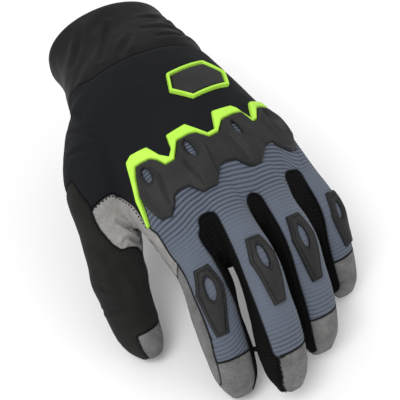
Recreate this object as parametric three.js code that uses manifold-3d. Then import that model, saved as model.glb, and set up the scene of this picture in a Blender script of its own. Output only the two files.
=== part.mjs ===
// Motorcycle glove for a left hand, in the form it has on the hand.
// The fingers point along -Y, the back of the hand faces +Z and the thumb lies on the -X side.
// The origin is the centre of the cuff's mouth. Lengths are in millimetres and angles in degrees.
import * as THREE from 'three';
import { mergeVertices } from 'three/addons/utils/BufferGeometryUtils.js';
import Module from 'manifold-3d';

const wasm = await Module();
wasm.setup();

// Sizes of the hand
const knuckleReach = 111; // from the cuff's mouth to the knuckles
const palmBreadth = 98;
const palmDepth = 46;
const thumbLength = 140; // from inside the wrist to the thumb's tip
const thumbBreadth = 25;

// Sizes of the glove
const clothWall = 2;
const cuffLength = 42;
const seamGap = 0.3;
const trimRise = 1.4;
const protectorRise = 2.2;
const lobeRise = 3.8;
const guardRise = 1.7;
const guardCrown = 2.8;
const guardRim = 1.4; // from a guard's edge to its crown
const badgeRise = 1.3;
const badgeLineRise = 1.9;
const badgeLength = 34;
const badgeBreadth = 19;
const badgeLineBreadth = 1.6;
const slitBreadth = 2.6; // of the small slots in the knuckle protector

// How finely the outer surface and the hollow are divided
const outerMesh = { handSides: 22, cuffStations: 11, palmStations: 9, fingerSides: 10, fingerStations: 9 };
const hollowMesh = { handSides: 16, cuffStations: 4, palmStations: 6, fingerSides: 8, fingerStations: 7 };
const regionStations = 6;

// Squareness of the sections: 2 is an ellipse, more is squarer
const backSquareness = 2.1;
const palmSquareness = 2.6;
const fingerSquareness = 2.3;

// Each knuckle's place is in shares of the palm's breadth, the knuckle's reach and the palm's depth.
// bones are shares of the length, flex turns each joint down, splay turns the finger outwards.
// seam is where the fingertip's cap starts, guardFrom and guardTo where the guard lies.
const fingers = [
  { name: 'index', length: 97, breadth: 22, across: -0.296, along: 0.964, up: -0.065,
    bones: [0.474, 0.268, 0.258], flex: [25, 22, 9], splay: 1.5, seam: 0.785, guardFrom: 0.38, guardTo: 0.69 },
  { name: 'middle', length: 106, breadth: 22.5, across: -0.102, along: 0.991, up: 0.076,
    bones: [0.472, 0.292, 0.236], flex: [16, 30, 14], splay: -0.5, seam: 0.806, guardFrom: 0.355, guardTo: 0.63 },
  { name: 'ring', length: 103, breadth: 21.5, across: 0.133, along: 0.955, up: 0.065,
    bones: [0.456, 0.291, 0.253], flex: [20, 30, 15], splay: 1, seam: 0.79, guardFrom: 0.36, guardTo: 0.64 },
  { name: 'little', length: 87.5, breadth: 20, across: 0.347, along: 0.883, up: -0.12,
    bones: [0.457, 0.251, 0.292], flex: [24, 31, 7], splay: 9.5, seam: 0.745, guardFrom: 0.385, guardTo: 0.69 },
];

// Sections of a finger: at is a share of its length, the rest are shares of its breadth
const fingerShape = [
  { at: -0.3, wide: 0.84, deep: 0.82, lift: 0 },
  { at: -0.12, wide: 0.98, deep: 1.0, lift: 0 },
  { at: 0, wide: 1.04, deep: 1.1, lift: 0.02 },
  { at: 0.14, wide: 1.04, deep: 1.1, lift: 0 },
  { at: 0.3, wide: 1.0, deep: 1.02, lift: 0 },
  { at: 0.42, wide: 1.0, deep: 1.0, lift: 0.02 },
  { at: 0.5, wide: 1.02, deep: 1.0, lift: 0.02 },
  { at: 0.6, wide: 0.99, deep: 0.94, lift: 0 },
  { at: 0.72, wide: 0.98, deep: 0.88, lift: 0 },
  { at: 0.84, wide: 0.94, deep: 0.8, lift: 0 },
  { at: 0.93, wide: 0.82, deep: 0.66, lift: 0 },
  { at: 1, wide: 0.5, deep: 0.36, lift: 0 },
];

// Sections of the hand from the cuff's mouth to the webs between the fingers.
// at is a share of the knuckle's reach, side and breadth are shares of the palm's breadth,
// top, waist and bottom are shares of its depth, and tilt turns the section about Y.
const handShape = [
  { at: 0, side: 0.01, breadth: 0.68, top: 0.5, waist: 0, bottom: -0.5, tilt: 0 },
  { at: 0.13, side: 0.01, breadth: 0.67, top: 0.49, waist: 0, bottom: -0.5, tilt: 0 },
  { at: 0.27, side: 0, breadth: 0.73, top: 0.5, waist: 0, bottom: -0.5, tilt: 0 },
  { at: 0.45, side: -0.015, breadth: 0.81, top: 0.5, waist: -0.03, bottom: -0.5, tilt: 0 },
  { at: 0.62, side: -0.015, breadth: 0.86, top: 0.48, waist: -0.08, bottom: -0.5, tilt: 0 },
  { at: 0.78, side: -0.01, breadth: 0.89, top: 0.44, waist: -0.12, bottom: -0.46, tilt: 1 },
  { at: 0.93, side: 0, breadth: 0.9, top: 0.38, waist: -0.16, bottom: -0.41, tilt: 3 },
  { at: 1.05, side: 0.005, breadth: 0.87, top: 0.31, waist: -0.22, bottom: -0.4, tilt: 5 },
  { at: 1.15, side: 0.005, breadth: 0.82, top: 0.19, waist: -0.28, bottom: -0.45, tilt: 7 },
  { at: 1.24, side: 0.01, breadth: 0.76, top: 0.02, waist: -0.34, bottom: -0.52, tilt: 8 },
  { at: 1.31, side: 0.01, breadth: 0.7, top: -0.2, waist: -0.4, bottom: -0.54, tilt: 8 },
];

// Folds and gathers of the cuff and the wrist. at and length are shares of the knuckle's reach,
// turn is the angle round the hand from its back towards the little finger, spread is the angle
// that the fold covers, slant is how far it runs on in a full turn, and swell is a share of the
// palm's depth, below zero for a dent.
const handFolds = [
  { at: 0.15, length: 0.02, turn: 75, spread: 60, slant: 0.2, swell: 0.024 },
  { at: 0.19, length: 0.018, turn: 70, spread: 55, slant: 0.2, swell: -0.016 },
  { at: 0.225, length: 0.02, turn: 70, spread: 60, slant: 0.2, swell: 0.024 },
  { at: 0.265, length: 0.018, turn: 70, spread: 55, slant: 0.2, swell: -0.016 },
  { at: 0.31, length: 0.022, turn: 70, spread: 60, slant: 0.2, swell: 0.026 },
  { at: 0.375, length: 0.02, turn: 0, spread: 180, slant: 0, swell: -0.018 },
  { at: 0.12, length: 0.03, turn: -40, spread: 70, slant: -0.9, swell: 0.018 },
  { at: 0.23, length: 0.03, turn: -30, spread: 80, slant: -0.9, swell: -0.018 },
  { at: 0.42, length: 0.022, turn: -95, spread: 50, slant: 0.1, swell: 0.028 },
  { at: 0.48, length: 0.02, turn: -95, spread: 50, slant: 0.1, swell: -0.018 },
  { at: 0.55, length: 0.025, turn: -95, spread: 50, slant: 0.1, swell: 0.028 },
  { at: 0.62, length: 0.02, turn: -95, spread: 45, slant: 0.1, swell: -0.018 },
];

// The thumb's line starts at this share of breadth, reach and depth, and its points are in shares
// of the thumb's length from there. Its back faces along thumbOut.
const thumbRoot = { across: -0.163, along: 0.306, up: -0.152 };
const thumbRoute = [
  { across: 0, along: 0, up: 0 },
  { across: -0.114, along: 0.186, up: 0 },
  { across: -0.2, along: 0.357, up: -0.014 },
  { across: -0.254, along: 0.529, up: -0.093 },
  { across: -0.275, along: 0.629, up: -0.2 },
  { across: -0.275, along: 0.714, up: -0.307 },
  { across: -0.257, along: 0.779, up: -0.393 },
];
const thumbOut = new THREE.Vector3(-0.75, 0, 0.66);

// Sections of the thumb: at is a share of its length, wide and deep are shares of its breadth
const thumbShape = [
  { at: 0, wide: 1.04, deep: 1.04 },
  { at: 0.15, wide: 1.28, deep: 1.28 },
  { at: 0.3, wide: 1.32, deep: 1.32 },
  { at: 0.42, wide: 1.24, deep: 1.24 },
  { at: 0.54, wide: 1.08, deep: 1.08 },
  { at: 0.62, wide: 1.02, deep: 1.04 },
  { at: 0.67, wide: 0.97, deep: 0.94 },
  { at: 0.72, wide: 1.02, deep: 0.96 },
  { at: 0.78, wide: 0.94, deep: 0.88 },
  { at: 0.88, wide: 0.9, deep: 0.76 },
  { at: 0.95, wide: 0.76, deep: 0.6 },
  { at: 1, wide: 0.44, deep: 0.36 },
];

// Outlines seen from above: across is a share of the palm's breadth, along one of the reach
const trimOuterEdge = [
  { across: -0.408, along: 1.1 }, { across: -0.405, along: 1.005 }, { across: -0.372, along: 0.88 },
  { across: -0.365, along: 0.86 }, { across: -0.336, along: 0.847 }, { across: -0.264, along: 0.864 },
  { across: -0.237, along: 0.925 }, { across: -0.209, along: 0.953 }, { across: -0.183, along: 0.927 },
  { across: -0.168, along: 0.864 }, { across: -0.069, along: 0.854 }, { across: -0.033, along: 0.893 },
  { across: -0.001, along: 0.929 }, { across: 0.041, along: 0.922 }, { across: 0.081, along: 0.839 },
  { across: 0.182, along: 0.832 }, { across: 0.204, along: 0.847 }, { across: 0.243, along: 0.912 },
  { across: 0.256, along: 0.898 }, { across: 0.301, along: 0.813 }, { across: 0.39, along: 0.79 },
];
const trimInnerEdge = [
  { across: -0.404, along: 1.1 }, { across: -0.395, along: 1.05 }, { across: -0.389, along: 1.008 },
  { across: -0.365, along: 0.94 }, { across: -0.344, along: 0.902 }, { across: -0.281, along: 0.914 },
  { across: -0.259, along: 0.936 }, { across: -0.239, along: 0.975 }, { across: -0.195, along: 0.977 },
  { across: -0.141, along: 0.908 }, { across: -0.076, along: 0.903 }, { across: -0.045, along: 0.91 },
  { across: -0.003, along: 0.949 }, { across: 0.049, along: 0.941 }, { across: 0.099, along: 0.89 },
  { across: 0.176, along: 0.873 }, { across: 0.214, along: 0.872 }, { across: 0.24, along: 0.928 },
  { across: 0.27, along: 0.916 }, { across: 0.32, along: 0.845 }, { across: 0.41, along: 0.815 },
];
const protectorFoot = [
  { across: -0.384, along: 1.053 }, { across: -0.373, along: 1.098 }, { across: -0.359, along: 1.132 },
  { across: -0.317, along: 1.15 }, { across: -0.287, along: 1.127 }, { across: -0.268, along: 1.098 },
  { across: -0.244, along: 1.092 }, { across: -0.199, along: 1.099 }, { across: -0.159, along: 1.151 },
  { across: -0.095, along: 1.152 }, { across: -0.037, along: 1.081 }, { across: 0.001, along: 1.072 },
  { across: 0.045, along: 1.076 }, { across: 0.08, along: 1.107 }, { across: 0.113, along: 1.12 },
  { across: 0.157, along: 1.118 }, { across: 0.228, along: 1.043 }, { across: 0.273, along: 1.034 },
  { across: 0.301, along: 1.057 }, { across: 0.353, along: 1.066 }, { across: 0.406, along: 1.045 },
  { across: 0.437, along: 0.97 }, { across: 0.437, along: 0.86 },
];
// One lobe and one slit of the protector over each knuckle, length and breadth in the same shares
const protectorLobes = [
  { across: -0.325, along: 1.035, length: 0.19, breadth: 0.1, slit: 0.965, slitLength: 0.07 },
  { across: -0.112, along: 1.03, length: 0.21, breadth: 0.14, slit: 0.965, slitLength: 0.085 },
  { across: 0.14, along: 1.005, length: 0.2, breadth: 0.13, slit: 0.945, slitLength: 0.07 },
  { across: 0.345, along: 0.945, length: 0.19, breadth: 0.11, slit: 0.89, slitLength: 0.06 },
];
const badge = { across: 0.14, along: 0.64, turn: 12 };
const webPatchEdge = [
  { across: -0.75, along: 0.905 }, { across: -0.545, along: 0.905 }, { across: -0.463, along: 0.899 },
  { across: -0.442, along: 0.921 }, { across: -0.422, along: 0.995 }, { across: -0.408, along: 1.102 },
  { across: -0.397, along: 1.171 }, { across: -0.36, along: 1.22 }, { across: -0.42, along: 1.26 },
  { across: -0.75, along: 1.26 },
];
const thumbSeam = [
  { across: -0.85, along: 0.64 }, { across: -0.63, along: 0.7 }, { across: -0.583, along: 0.743 },
  { across: -0.585, along: 0.82 }, { across: -0.577, along: 0.88 }, { across: -0.585, along: 0.95 },
  { across: -0.575, along: 1.02 }, { across: -0.54, along: 1.075 }, { across: -0.5, along: 1.1 },
  { across: -0.34, along: 1.13 }, { across: -0.34, along: 1.4 }, { across: -0.85, along: 1.4 },
];
const indexSideSeam = [
  { across: -0.406, along: 1.09 }, { across: -0.397, along: 1.171 }, { across: -0.393, along: 1.257 },
  { across: -0.379, along: 1.342 }, { across: -0.375, along: 1.7 }, { across: -0.7, along: 1.7 },
  { across: -0.7, along: 1.09 },
];

// Side seams of the back as shares of the depth above or below the waist
const radialSeam = -0.5;
const ulnarSeam = 0.5;

// Side strips between the fingers: from is where a slot starts as a share of finger length, near and
// far are shares of the half breadth of the finger on the thumb's side and of the next one
const slots = [
  { from: 0.245, near: 0.62, far: 0.5 },
  { from: 0.25, near: 0.93, far: 0.45 },
  { from: 0.25, near: 0.84, far: 0.5 },
];
const slotTaper = 4; // length over which a slot opens to its full breadth
const slotDepth = 0.4; // how far a strip reaches down past the finger's line, as a share of its breadth
const jointSpan = 0.18; // length over which a joint bends, as a share of the finger's
const pastTip = 1.12; // share of a finger's length that clears its tip

const { degToRad, smoothstep } = THREE.MathUtils;
const vector = (x, y, z) => new THREE.Vector3(x, y, z);
const spread = (count) => Array.from({ length: count }, (_, i) => i / (count - 1));
const place = ({ across, along, up = 0 }) =>
  vector(across * palmBreadth, -along * knuckleReach, up * palmDepth);

// Smooth value of one column of a table at a station, held at the table's ends
function columnAt(table, column, at) {
  const last = table.length - 1;
  if (at <= table[0].at) return table[0][column];
  if (at >= table[last].at) return table[last][column];
  const i = table.findIndex((row) => row.at > at) - 1;
  const slope = (k) => {
    const low = table[Math.max(k - 1, 0)];
    const high = table[Math.min(k + 1, last)];
    return (high[column] - low[column]) / (high.at - low.at);
  };
  const run = table[i + 1].at - table[i].at;
  const t = (at - table[i].at) / run;
  const start = (2 * t ** 3 - 3 * t ** 2 + 1) * table[i][column] + (t ** 3 - 2 * t ** 2 + t) * run * slope(i);
  const end = (3 * t ** 2 - 2 * t ** 3) * table[i + 1][column] + (t ** 3 - t ** 2) * run * slope(i + 1);
  return start + end;
}

// Point of a rounded oval at a turn from its top towards its right
function ovalPoint(turn, halfBreadth, halfDepth, squareness) {
  const bulge = (value) => Math.sign(value) * Math.abs(value) ** (2 / squareness);
  return { right: halfBreadth * bulge(Math.sin(turn)), up: halfDepth * bulge(Math.cos(turn)) };
}

// Closed solid through rings of points, with a fan over each end
function loft(rings) {
  const sides = rings[0].length;
  const points = rings.flat();
  const faces = [];
  for (let i = 0; i + 1 < rings.length; i++) {
    for (let k = 0; k < sides; k++) {
      const a = i * sides + k;
      const b = i * sides + ((k + 1) % sides);
      faces.push(a, b, b + sides, a, b + sides, a + sides);
    }
  }
  for (const ring of [0, rings.length - 1]) {
    const centre = rings[ring].reduce((sum, p) => sum.add(p), vector(0, 0, 0)).divideScalar(sides);
    points.push(centre);
    for (let k = 0; k < sides; k++) {
      const a = ring * sides + k;
      const b = ring * sides + ((k + 1) % sides);
      faces.push(points.length - 1, ...(ring === 0 ? [b, a] : [a, b]));
    }
  }
  const geometry = new THREE.BufferGeometry().setFromPoints(points);
  geometry.setIndex(faces);
  return toSolid(geometry);
}

// Solid from a closed three.js geometry, whichever way its faces point
function toSolid(source) {
  const bare = source.clone();
  bare.deleteAttribute('normal');
  bare.deleteAttribute('uv');
  const { attributes, index } = mergeVertices(bare);
  const points = new Float32Array(attributes.position.array);
  const build = (triangles) =>
    new wasm.Manifold(new wasm.Mesh({ numProp: 3, vertProperties: points, triVerts: triangles }));
  const solid = build(new Uint32Array(index.array));
  if (solid.volume() > 0) return solid;
  return build(new Uint32Array(index.array).reverse());
}

const join = (solids) => solids.reduce((all, solid) => all.add(solid));
const largest = (solid) => solid.decompose().sort((a, b) => b.volume() - a.volume())[0];

// The outline moved outwards by an amount, or inwards if it is below zero
function grown(outline, amount) {
  const outwards = THREE.ShapeUtils.isClockWise(outline) ? -1 : 1;
  return outline.map((point, i) => {
    const before = outline[(i + outline.length - 1) % outline.length];
    const after = outline[(i + 1) % outline.length];
    const into = point.clone().sub(before).normalize();
    const out = after.clone().sub(point).normalize();
    const bisector = into.clone().add(out).normalize();
    const normal = new THREE.Vector2(bisector.y, -bisector.x).multiplyScalar(outwards);
    const reach = amount / Math.max(Math.sqrt((1 + into.dot(out)) / 2), 0.35);
    return point.clone().addScaledVector(normal, reach);
  });
}

const planOutline = (rows) => rows.map((row) => new THREE.Vector2(place(row).x, place(row).y));

// Prism over an outline, from one height to another
function prism(outline, low, high) {
  const geometry = new THREE.ExtrudeGeometry(new THREE.Shape(outline), { depth: high - low, bevelEnabled: false });
  return toSolid(geometry.translate(0, 0, low));
}

const farAway = 2 * palmBreadth; // past every piece
const planPrism = (rows, amount = 0) => prism(grown(planOutline(rows), amount), -farAway, farAway);

function slab(low, high) {
  const size = vector().subVectors(high, low);
  const middle = vector().addVectors(low, high).divideScalar(2);
  return toSolid(new THREE.BoxGeometry(size.x, size.y, size.z).translate(middle.x, middle.y, middle.z));
}

const meshFor = (grow) => (grow < 0 ? hollowMesh : outerMesh);

// Shape of the hand

function foldSwell(at, turn) {
  return handFolds.reduce((sum, fold) => {
    const away = Math.atan2(Math.sin(turn - degToRad(fold.turn)), Math.cos(turn - degToRad(fold.turn)));
    const sideways = 1 - smoothstep(Math.abs(away), 0, degToRad(fold.spread));
    const off = at - fold.at - (fold.slant * away) / (2 * Math.PI);
    return sum + fold.swell * palmDepth * sideways * Math.exp(-((off / fold.length) ** 2));
  }, 0);
}

// Section of the hand. reachOn moves it along the hand without a change of form.
function handRing(at, grow, sides, reachOn = 0) {
  const value = (column) => columnAt(handShape, column, at);
  const tilt = degToRad(value('tilt'));
  const centre = place({ across: value('side'), along: at, up: value('waist') });
  centre.y -= reachOn;
  return Array.from({ length: sides }, (_, k) => {
    const turn = (2 * Math.PI * k) / sides;
    const isBack = Math.cos(turn) >= 0;
    const depth = isBack ? value('top') - value('waist') : value('waist') - value('bottom');
    const swell = grow + (grow < 0 ? 0 : foldSwell(at, turn));
    const { right, up } = ovalPoint(
      turn,
      (value('breadth') * palmBreadth) / 2 + swell,
      depth * palmDepth + swell,
      isBack ? backSquareness : palmSquareness,
    );
    const x = right * Math.cos(tilt) + up * Math.sin(tilt);
    const z = up * Math.cos(tilt) - right * Math.sin(tilt);
    return vector(centre.x + x, centre.y, centre.z + z);
  });
}

// The hand with its surface moved out by grow. A hollow, which has grow below zero, opens at the mouth.
function handSolid(grow) {
  const { handSides, cuffStations, palmStations } = meshFor(grow);
  const cuff = cuffLength / knuckleReach;
  const end = handShape.at(-1).at;
  const stations = [
    ...spread(cuffStations).map((share) => share * cuff),
    ...spread(palmStations).slice(1).map((share) => cuff + share * (end - cuff)),
  ];
  const mouth = grow < 0 ? [handRing(0, grow, handSides, -2 * clothWall)] : [];
  return loft([...mouth, ...stations.map((at) => handRing(at, grow, handSides, at === end ? grow : 0))]);
}

// A finger's line as a function of the share of its length, with the way it runs and its back faces
function fingerLine({ length, across, along, up, bones, flex, splay }) {
  const bend = jointSpan * length;
  const yaw = degToRad(splay);
  const joints = [0, bones[0] * length, (bones[0] + bones[1]) * length];
  const side = vector(Math.cos(yaw), Math.sin(yaw), 0);
  const heading = (run) => {
    const bent = joints.map((joint, k) => flex[k] * smoothstep(run, joint - bend / 2, joint + bend / 2));
    const pitch = degToRad(bent.reduce((sum, part) => sum + part));
    return vector(Math.cos(pitch) * Math.sin(yaw), -Math.cos(pitch) * Math.cos(yaw), -Math.sin(pitch));
  };
  return (share) => {
    const run = share * length;
    const steps = Math.max(1, Math.ceil(Math.abs(run)));
    const point = place({ across, along, up });
    for (let i = 0; i < steps; i++) point.addScaledVector(heading((run * (i + 0.5)) / steps), run / steps);
    const onwards = heading(run);
    return { point, side, onwards, back: vector().crossVectors(onwards, side) };
  };
}

// Rounded section square to a line
function lineRing({ point, side, back }, halfBreadth, halfDepth, sides) {
  return Array.from({ length: sides }, (_, k) => {
    const { right, up } = ovalPoint((2 * Math.PI * k) / sides, halfBreadth, halfDepth, fingerSquareness);
    return point.clone().addScaledVector(side, right).addScaledVector(back, up);
  });
}

// Four-cornered section, from low to high along the back and from left to right across
function boxRing({ point, side, back }, left, right, low, high) {
  const corners = [[left, low], [right, low], [right, high], [left, high]];
  return corners.map(([x, z]) => point.clone().addScaledVector(side, x).addScaledVector(back, z));
}

const halfBreadth = (finger, share) => (columnAt(fingerShape, 'wide', share) * finger.breadth) / 2;

function fingerSolid(finger, grow) {
  const { fingerSides, fingerStations } = meshFor(grow);
  const line = fingerLine(finger);
  const from = fingerShape[0].at;
  const to = 1 + grow / finger.length;
  return loft(spread(fingerStations).map((step) => {
    const share = from + step * (to - from);
    const value = (column) => columnAt(fingerShape, column, share) * finger.breadth;
    const frame = line(share);
    frame.point.addScaledVector(frame.back, value('lift'));
    return lineRing(frame, value('wide') / 2 + grow, value('deep') / 2 + grow, fingerSides);
  }));
}

const thumbCurve = new THREE.CatmullRomCurve3(
  thumbRoute.map(({ across, along, up }) =>
    place(thumbRoot).add(vector(across, -along, up).multiplyScalar(thumbLength))),
);

function thumbFrame(share) {
  const onwards = thumbCurve.getTangentAt(share);
  const side = vector().crossVectors(onwards, thumbOut).normalize();
  return { point: thumbCurve.getPointAt(share), side, back: vector().crossVectors(side, onwards).normalize() };
}

function thumbSolid(grow) {
  const { fingerSides, fingerStations } = meshFor(grow);
  const to = 1 + Math.min(grow, 0) / thumbLength;
  return loft(spread(fingerStations).map((step) => {
    const share = step * to;
    const half = (column) => (columnAt(thumbShape, column, share) * thumbBreadth) / 2 + grow;
    return lineRing(thumbFrame(share), half('wide'), half('deep'), fingerSides);
  }));
}

// The whole hand with its surface moved out by grow
function skin(grow) {
  return join([handSolid(grow), ...fingers.map((finger) => fingerSolid(finger, grow)), thumbSolid(grow)]);
}

// Regions that the panels are cut from. Each takes the amount that it is grown by on every side.

function cuffRegion(grow) {
  return slab(vector(-farAway, -cuffLength - grow, -farAway), vector(farAway, farAway, farAway));
}

// Space between two neighbouring fingers, rounded where the slot starts
function gussetRegion(slot, left, right, grow) {
  const [leftLine, rightLine] = [fingerLine(left), fingerLine(right)];
  const from = slot.from - grow / left.length;
  const opening = slotTaper / left.length;
  const early = [0, 0.12, 0.45, 1].map((step) => from + step * opening);
  const late = spread(regionStations).slice(1).map((step) => from + opening + step * (pastTip - from - opening));
  const rings = [...early, ...late].map((share) => {
    const open = Math.max(0.3, Math.sqrt(1 - Math.max(0, 1 - (share - from) / opening) ** 2));
    const [a, b] = [leftLine(share), rightLine(share)];
    const inner = a.point.clone().addScaledVector(a.side, slot.near * halfBreadth(left, share));
    const outer = b.point.clone().addScaledVector(b.side, -slot.far * halfBreadth(right, share));
    const middle = inner.clone().add(outer).divideScalar(2);
    inner.lerpVectors(middle, inner, open);
    outer.lerpVectors(middle, outer, open);
    const corners = [
      inner.clone().addScaledVector(a.back, -slotDepth * left.breadth),
      outer.clone().addScaledVector(b.back, -slotDepth * right.breadth),
      outer.clone().addScaledVector(b.back, right.breadth),
      inner.clone().addScaledVector(a.back, left.breadth),
    ];
    return grownRing(corners, a, grow);
  });
  return loft(rings);
}

// A section moved outwards by an amount, within the plane of a frame's side and back
function grownRing(corners, { side, back }, amount) {
  const flat = corners.map((corner) => new THREE.Vector2(corner.dot(side), corner.dot(back)));
  return grown(flat, amount).map((moved, i) => {
    const shift = moved.sub(flat[i]);
    return corners[i].clone().addScaledVector(side, shift.x).addScaledVector(back, shift.y);
  });
}

// Space over the back of a finger, past a share of its length. Only the outer sides of the first and
// the last finger have a seam above their widest place.
function fingerTop(finger, from, grow) {
  const line = fingerLine(finger);
  const start = from - grow / finger.length;
  return loft(spread(regionStations).map((step) => {
    const share = start + step * (pastTip - start);
    const half = halfBreadth(finger, share);
    const left = finger === fingers[0] ? 0.84 * half : half + clothWall;
    const right = finger === fingers.at(-1) ? 0.8 * half : half + clothWall;
    return boxRing(line(share), -left - grow, right + grow, -0.12 * half - grow, finger.breadth);
  }));
}

// Space over the back of the hand, down to its side seams
function handTop(grow) {
  const end = handShape.at(-1).at;
  return loft(spread(regionStations).map((share) => {
    const at = share * end;
    const height = (column) => columnAt(handShape, column, at) * palmDepth;
    const [top, waist, bottom] = ['top', 'waist', 'bottom'].map(height);
    const radial = waist - radialSeam * (bottom - waist) - grow;
    const ulnar = waist + ulnarSeam * (top - waist) - grow;
    const web = smoothstep(at, 1, end);
    const centre = waist + 0.8 * web * (top - waist);
    const y = -at * knuckleReach;
    const half = (columnAt(handShape, 'breadth', at) * palmBreadth) / 2;
    return [
      vector(-farAway, y, radial), vector(-0.7 * half, y, radial), vector(0, y, centre),
      vector(half, y, ulnar), vector(farAway, y, ulnar), vector(farAway, y, farAway), vector(-farAway, y, farAway),
    ];
  }));
}

function backRegion(grow) {
  const tops = fingers.map((finger) => fingerTop(finger, 0.1, grow));
  return join([handTop(grow), ...tops]).subtract(planPrism(indexSideSeam, -grow));
}

function upperBackRegion(grow) {
  const edge = planOutline(trimInnerEdge);
  const corners = [
    new THREE.Vector2(farAway, edge.at(-1).y),
    new THREE.Vector2(farAway, farAway),
    new THREE.Vector2(-farAway, farAway),
    new THREE.Vector2(-farAway, edge[0].y),
  ];
  return prism(grown([...edge, ...corners], grow), -farAway, farAway);
}

// Space along the thumb from one share of its length on. low, high and right are shares of a half
// breadth that clears the thumb's root.
function thumbSpace(from, low, high, right, grow) {
  const start = from - grow / thumbLength;
  const half = 0.9 * thumbBreadth;
  return loft(spread(regionStations).map((step) => {
    const frame = thumbFrame(Math.min(start + step * (1 - start), 1));
    if (step === 1) frame.point.addScaledVector(thumbCurve.getTangentAt(1), thumbBreadth);
    return boxRing(frame, -half - grow, right * half + grow, low * half - grow, high * half + grow);
  }));
}

const thumbBackRegion = (grow) => thumbSpace(0.3, -0.1, 1, 1, grow).intersect(planPrism(thumbSeam, grow));
const thumbTipRegion = (grow) => thumbSpace(0.87, -0.1, 1, 0.05, grow);
const webRegion = (grow) => planPrism(webPatchEdge, grow)
  .intersect(slab(vector(-farAway, -farAway, -0.75 * palmDepth - grow), vector(farAway, farAway, farAway)))
  .subtract(thumbSpace(0.2, -1, -0.35, 1, -grow));

// Panels of cloth and suede, cut one after another from one hollow skin

const panels = {};
let rest = skin(0).subtract(skin(-clothWall));

function cutPanel(name, region) {
  panels[name] = largest(rest.intersect(region(0)));
  rest = rest.subtract(region(seamGap));
}

cutPanel('cuff', cuffRegion);
slots.forEach((slot, i) => {
  const [left, right] = [fingers[i], fingers[i + 1]];
  cutPanel(`gusset_${left.name}_${right.name}`, (grow) => gussetRegion(slot, left, right, grow));
});
cutPanel('thumb_tip', thumbTipRegion);
cutPanel('thumb_back', thumbBackRegion);
cutPanel('thumb_web', webRegion);
const behind = largest(rest.subtract(backRegion(seamGap)));
rest = rest.intersect(backRegion(0));
for (const finger of fingers) {
  cutPanel(`fingertip_${finger.name}`, (grow) => fingerTop(finger, finger.seam, grow));
}
cutPanel('back_upper', upperBackRegion);
panels.back_lower = largest(rest);
panels.palm = behind;

// Raised rubber, which lies on the cloth with a gap of seamGap

const clearance = skin(seamGap);
const backHalf = slab(vector(-farAway, -farAway, -0.3 * palmDepth), vector(farAway, farAway, farAway));

// Relief of a given rise over the part of the skin that a prism covers
const relief = (cover, rise) => skin(rise).intersect(cover).subtract(clearance);

// Six-cornered outline, widest near its start, as long and wide as given
function coffin(x, y, length, breadth) {
  const corners = [[-0.28, 0], [0.28, 0], [0.5, 0.3], [0.24, 1], [-0.24, 1], [-0.5, 0.3]];
  return corners.map(([across, along]) => new THREE.Vector2(x + across * breadth, y - (along - 0.5) * length));
}

function slitOutline(x, y, length, breadth) {
  const corners = [[0, 0], [0.5, 0.25], [0.5, 0.75], [0, 1], [-0.5, 0.75], [-0.5, 0.25]];
  return corners.map(([across, along]) => new THREE.Vector2(x + across * breadth, y - (along - 0.5) * length));
}

function knuckleProtector() {
  const head = planOutline(trimInnerEdge.slice(2)).reverse();
  const outline = grown([...planOutline(protectorFoot), ...head], -seamGap);
  const lobes = protectorLobes.map(({ across, along, length, breadth }) => {
    const { x, y } = place({ across, along });
    return prism(coffin(x, y, length * knuckleReach, breadth * palmBreadth), -farAway, farAway);
  });
  const slits = protectorLobes.map(({ across, slit, slitLength }) => {
    const { x, y } = place({ across, along: slit });
    return prism(slitOutline(x, y, slitLength * knuckleReach, slitBreadth), -farAway, farAway);
  });
  const base = prism(outline, -farAway, farAway);
  const plate = relief(base, protectorRise).add(relief(join(lobes).intersect(base), lobeRise));
  return largest(plate.subtract(join(slits)).intersect(backHalf));
}

function zigzagTrim() {
  const outline = [...planOutline(trimOuterEdge), ...planOutline(trimInnerEdge).reverse()];
  return largest(relief(prism(outline, -farAway, farAway).intersect(backHalf), trimRise));
}

// A coffin-shaped guard with a window, over the middle joint of a finger
function fingerGuard(finger) {
  const middle = (finger.guardFrom + finger.guardTo) / 2;
  const length = (finger.guardTo - finger.guardFrom) * finger.length;
  const breadth = 0.52 * finger.breadth;
  const { point, side, onwards, back } = fingerLine(finger)(middle);
  const turned = new THREE.Matrix4().makeBasis(side, onwards.clone().negate(), back).setPosition(point);
  const cover = (outline) => {
    const shape = new THREE.Shape(outline);
    const geometry = new THREE.ExtrudeGeometry(shape, { depth: finger.breadth, bevelEnabled: false });
    return toSolid(geometry.applyMatrix4(turned));
  };
  const outline = coffin(0, 0, length, breadth);
  const window = slitOutline(0, 0.14 * length, 0.32 * length, 0.32 * breadth);
  const over = (outer, rise) => fingerSolid(finger, rise).intersect(cover(outer)).subtract(clearance);
  const body = over(outline, guardRise).add(over(grown(outline, -guardRim), guardCrown));
  return largest(body.subtract(cover(window)));
}

const badgeOutline = (inset) => {
  const centre = place(badge);
  const turn = degToRad(badge.turn);
  const corners = [[-0.5, 0], [-0.32, 0.5], [0.32, 0.5], [0.5, 0], [0.32, -0.5], [-0.32, -0.5]];
  const outline = corners.map(([x, y]) =>
    new THREE.Vector2(x * badgeLength, y * badgeBreadth).rotateAround(new THREE.Vector2(), turn).add(centre));
  return grown(outline, -inset);
};

function badgePad() {
  return largest(relief(prism(badgeOutline(badgeLineBreadth + seamGap), 0, farAway), badgeRise));
}

function badgeLine() {
  const ring = prism(badgeOutline(0), 0, farAway).subtract(prism(badgeOutline(badgeLineBreadth), 0, farAway));
  return largest(relief(ring, badgeLineRise));
}

// Finishes

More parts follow.
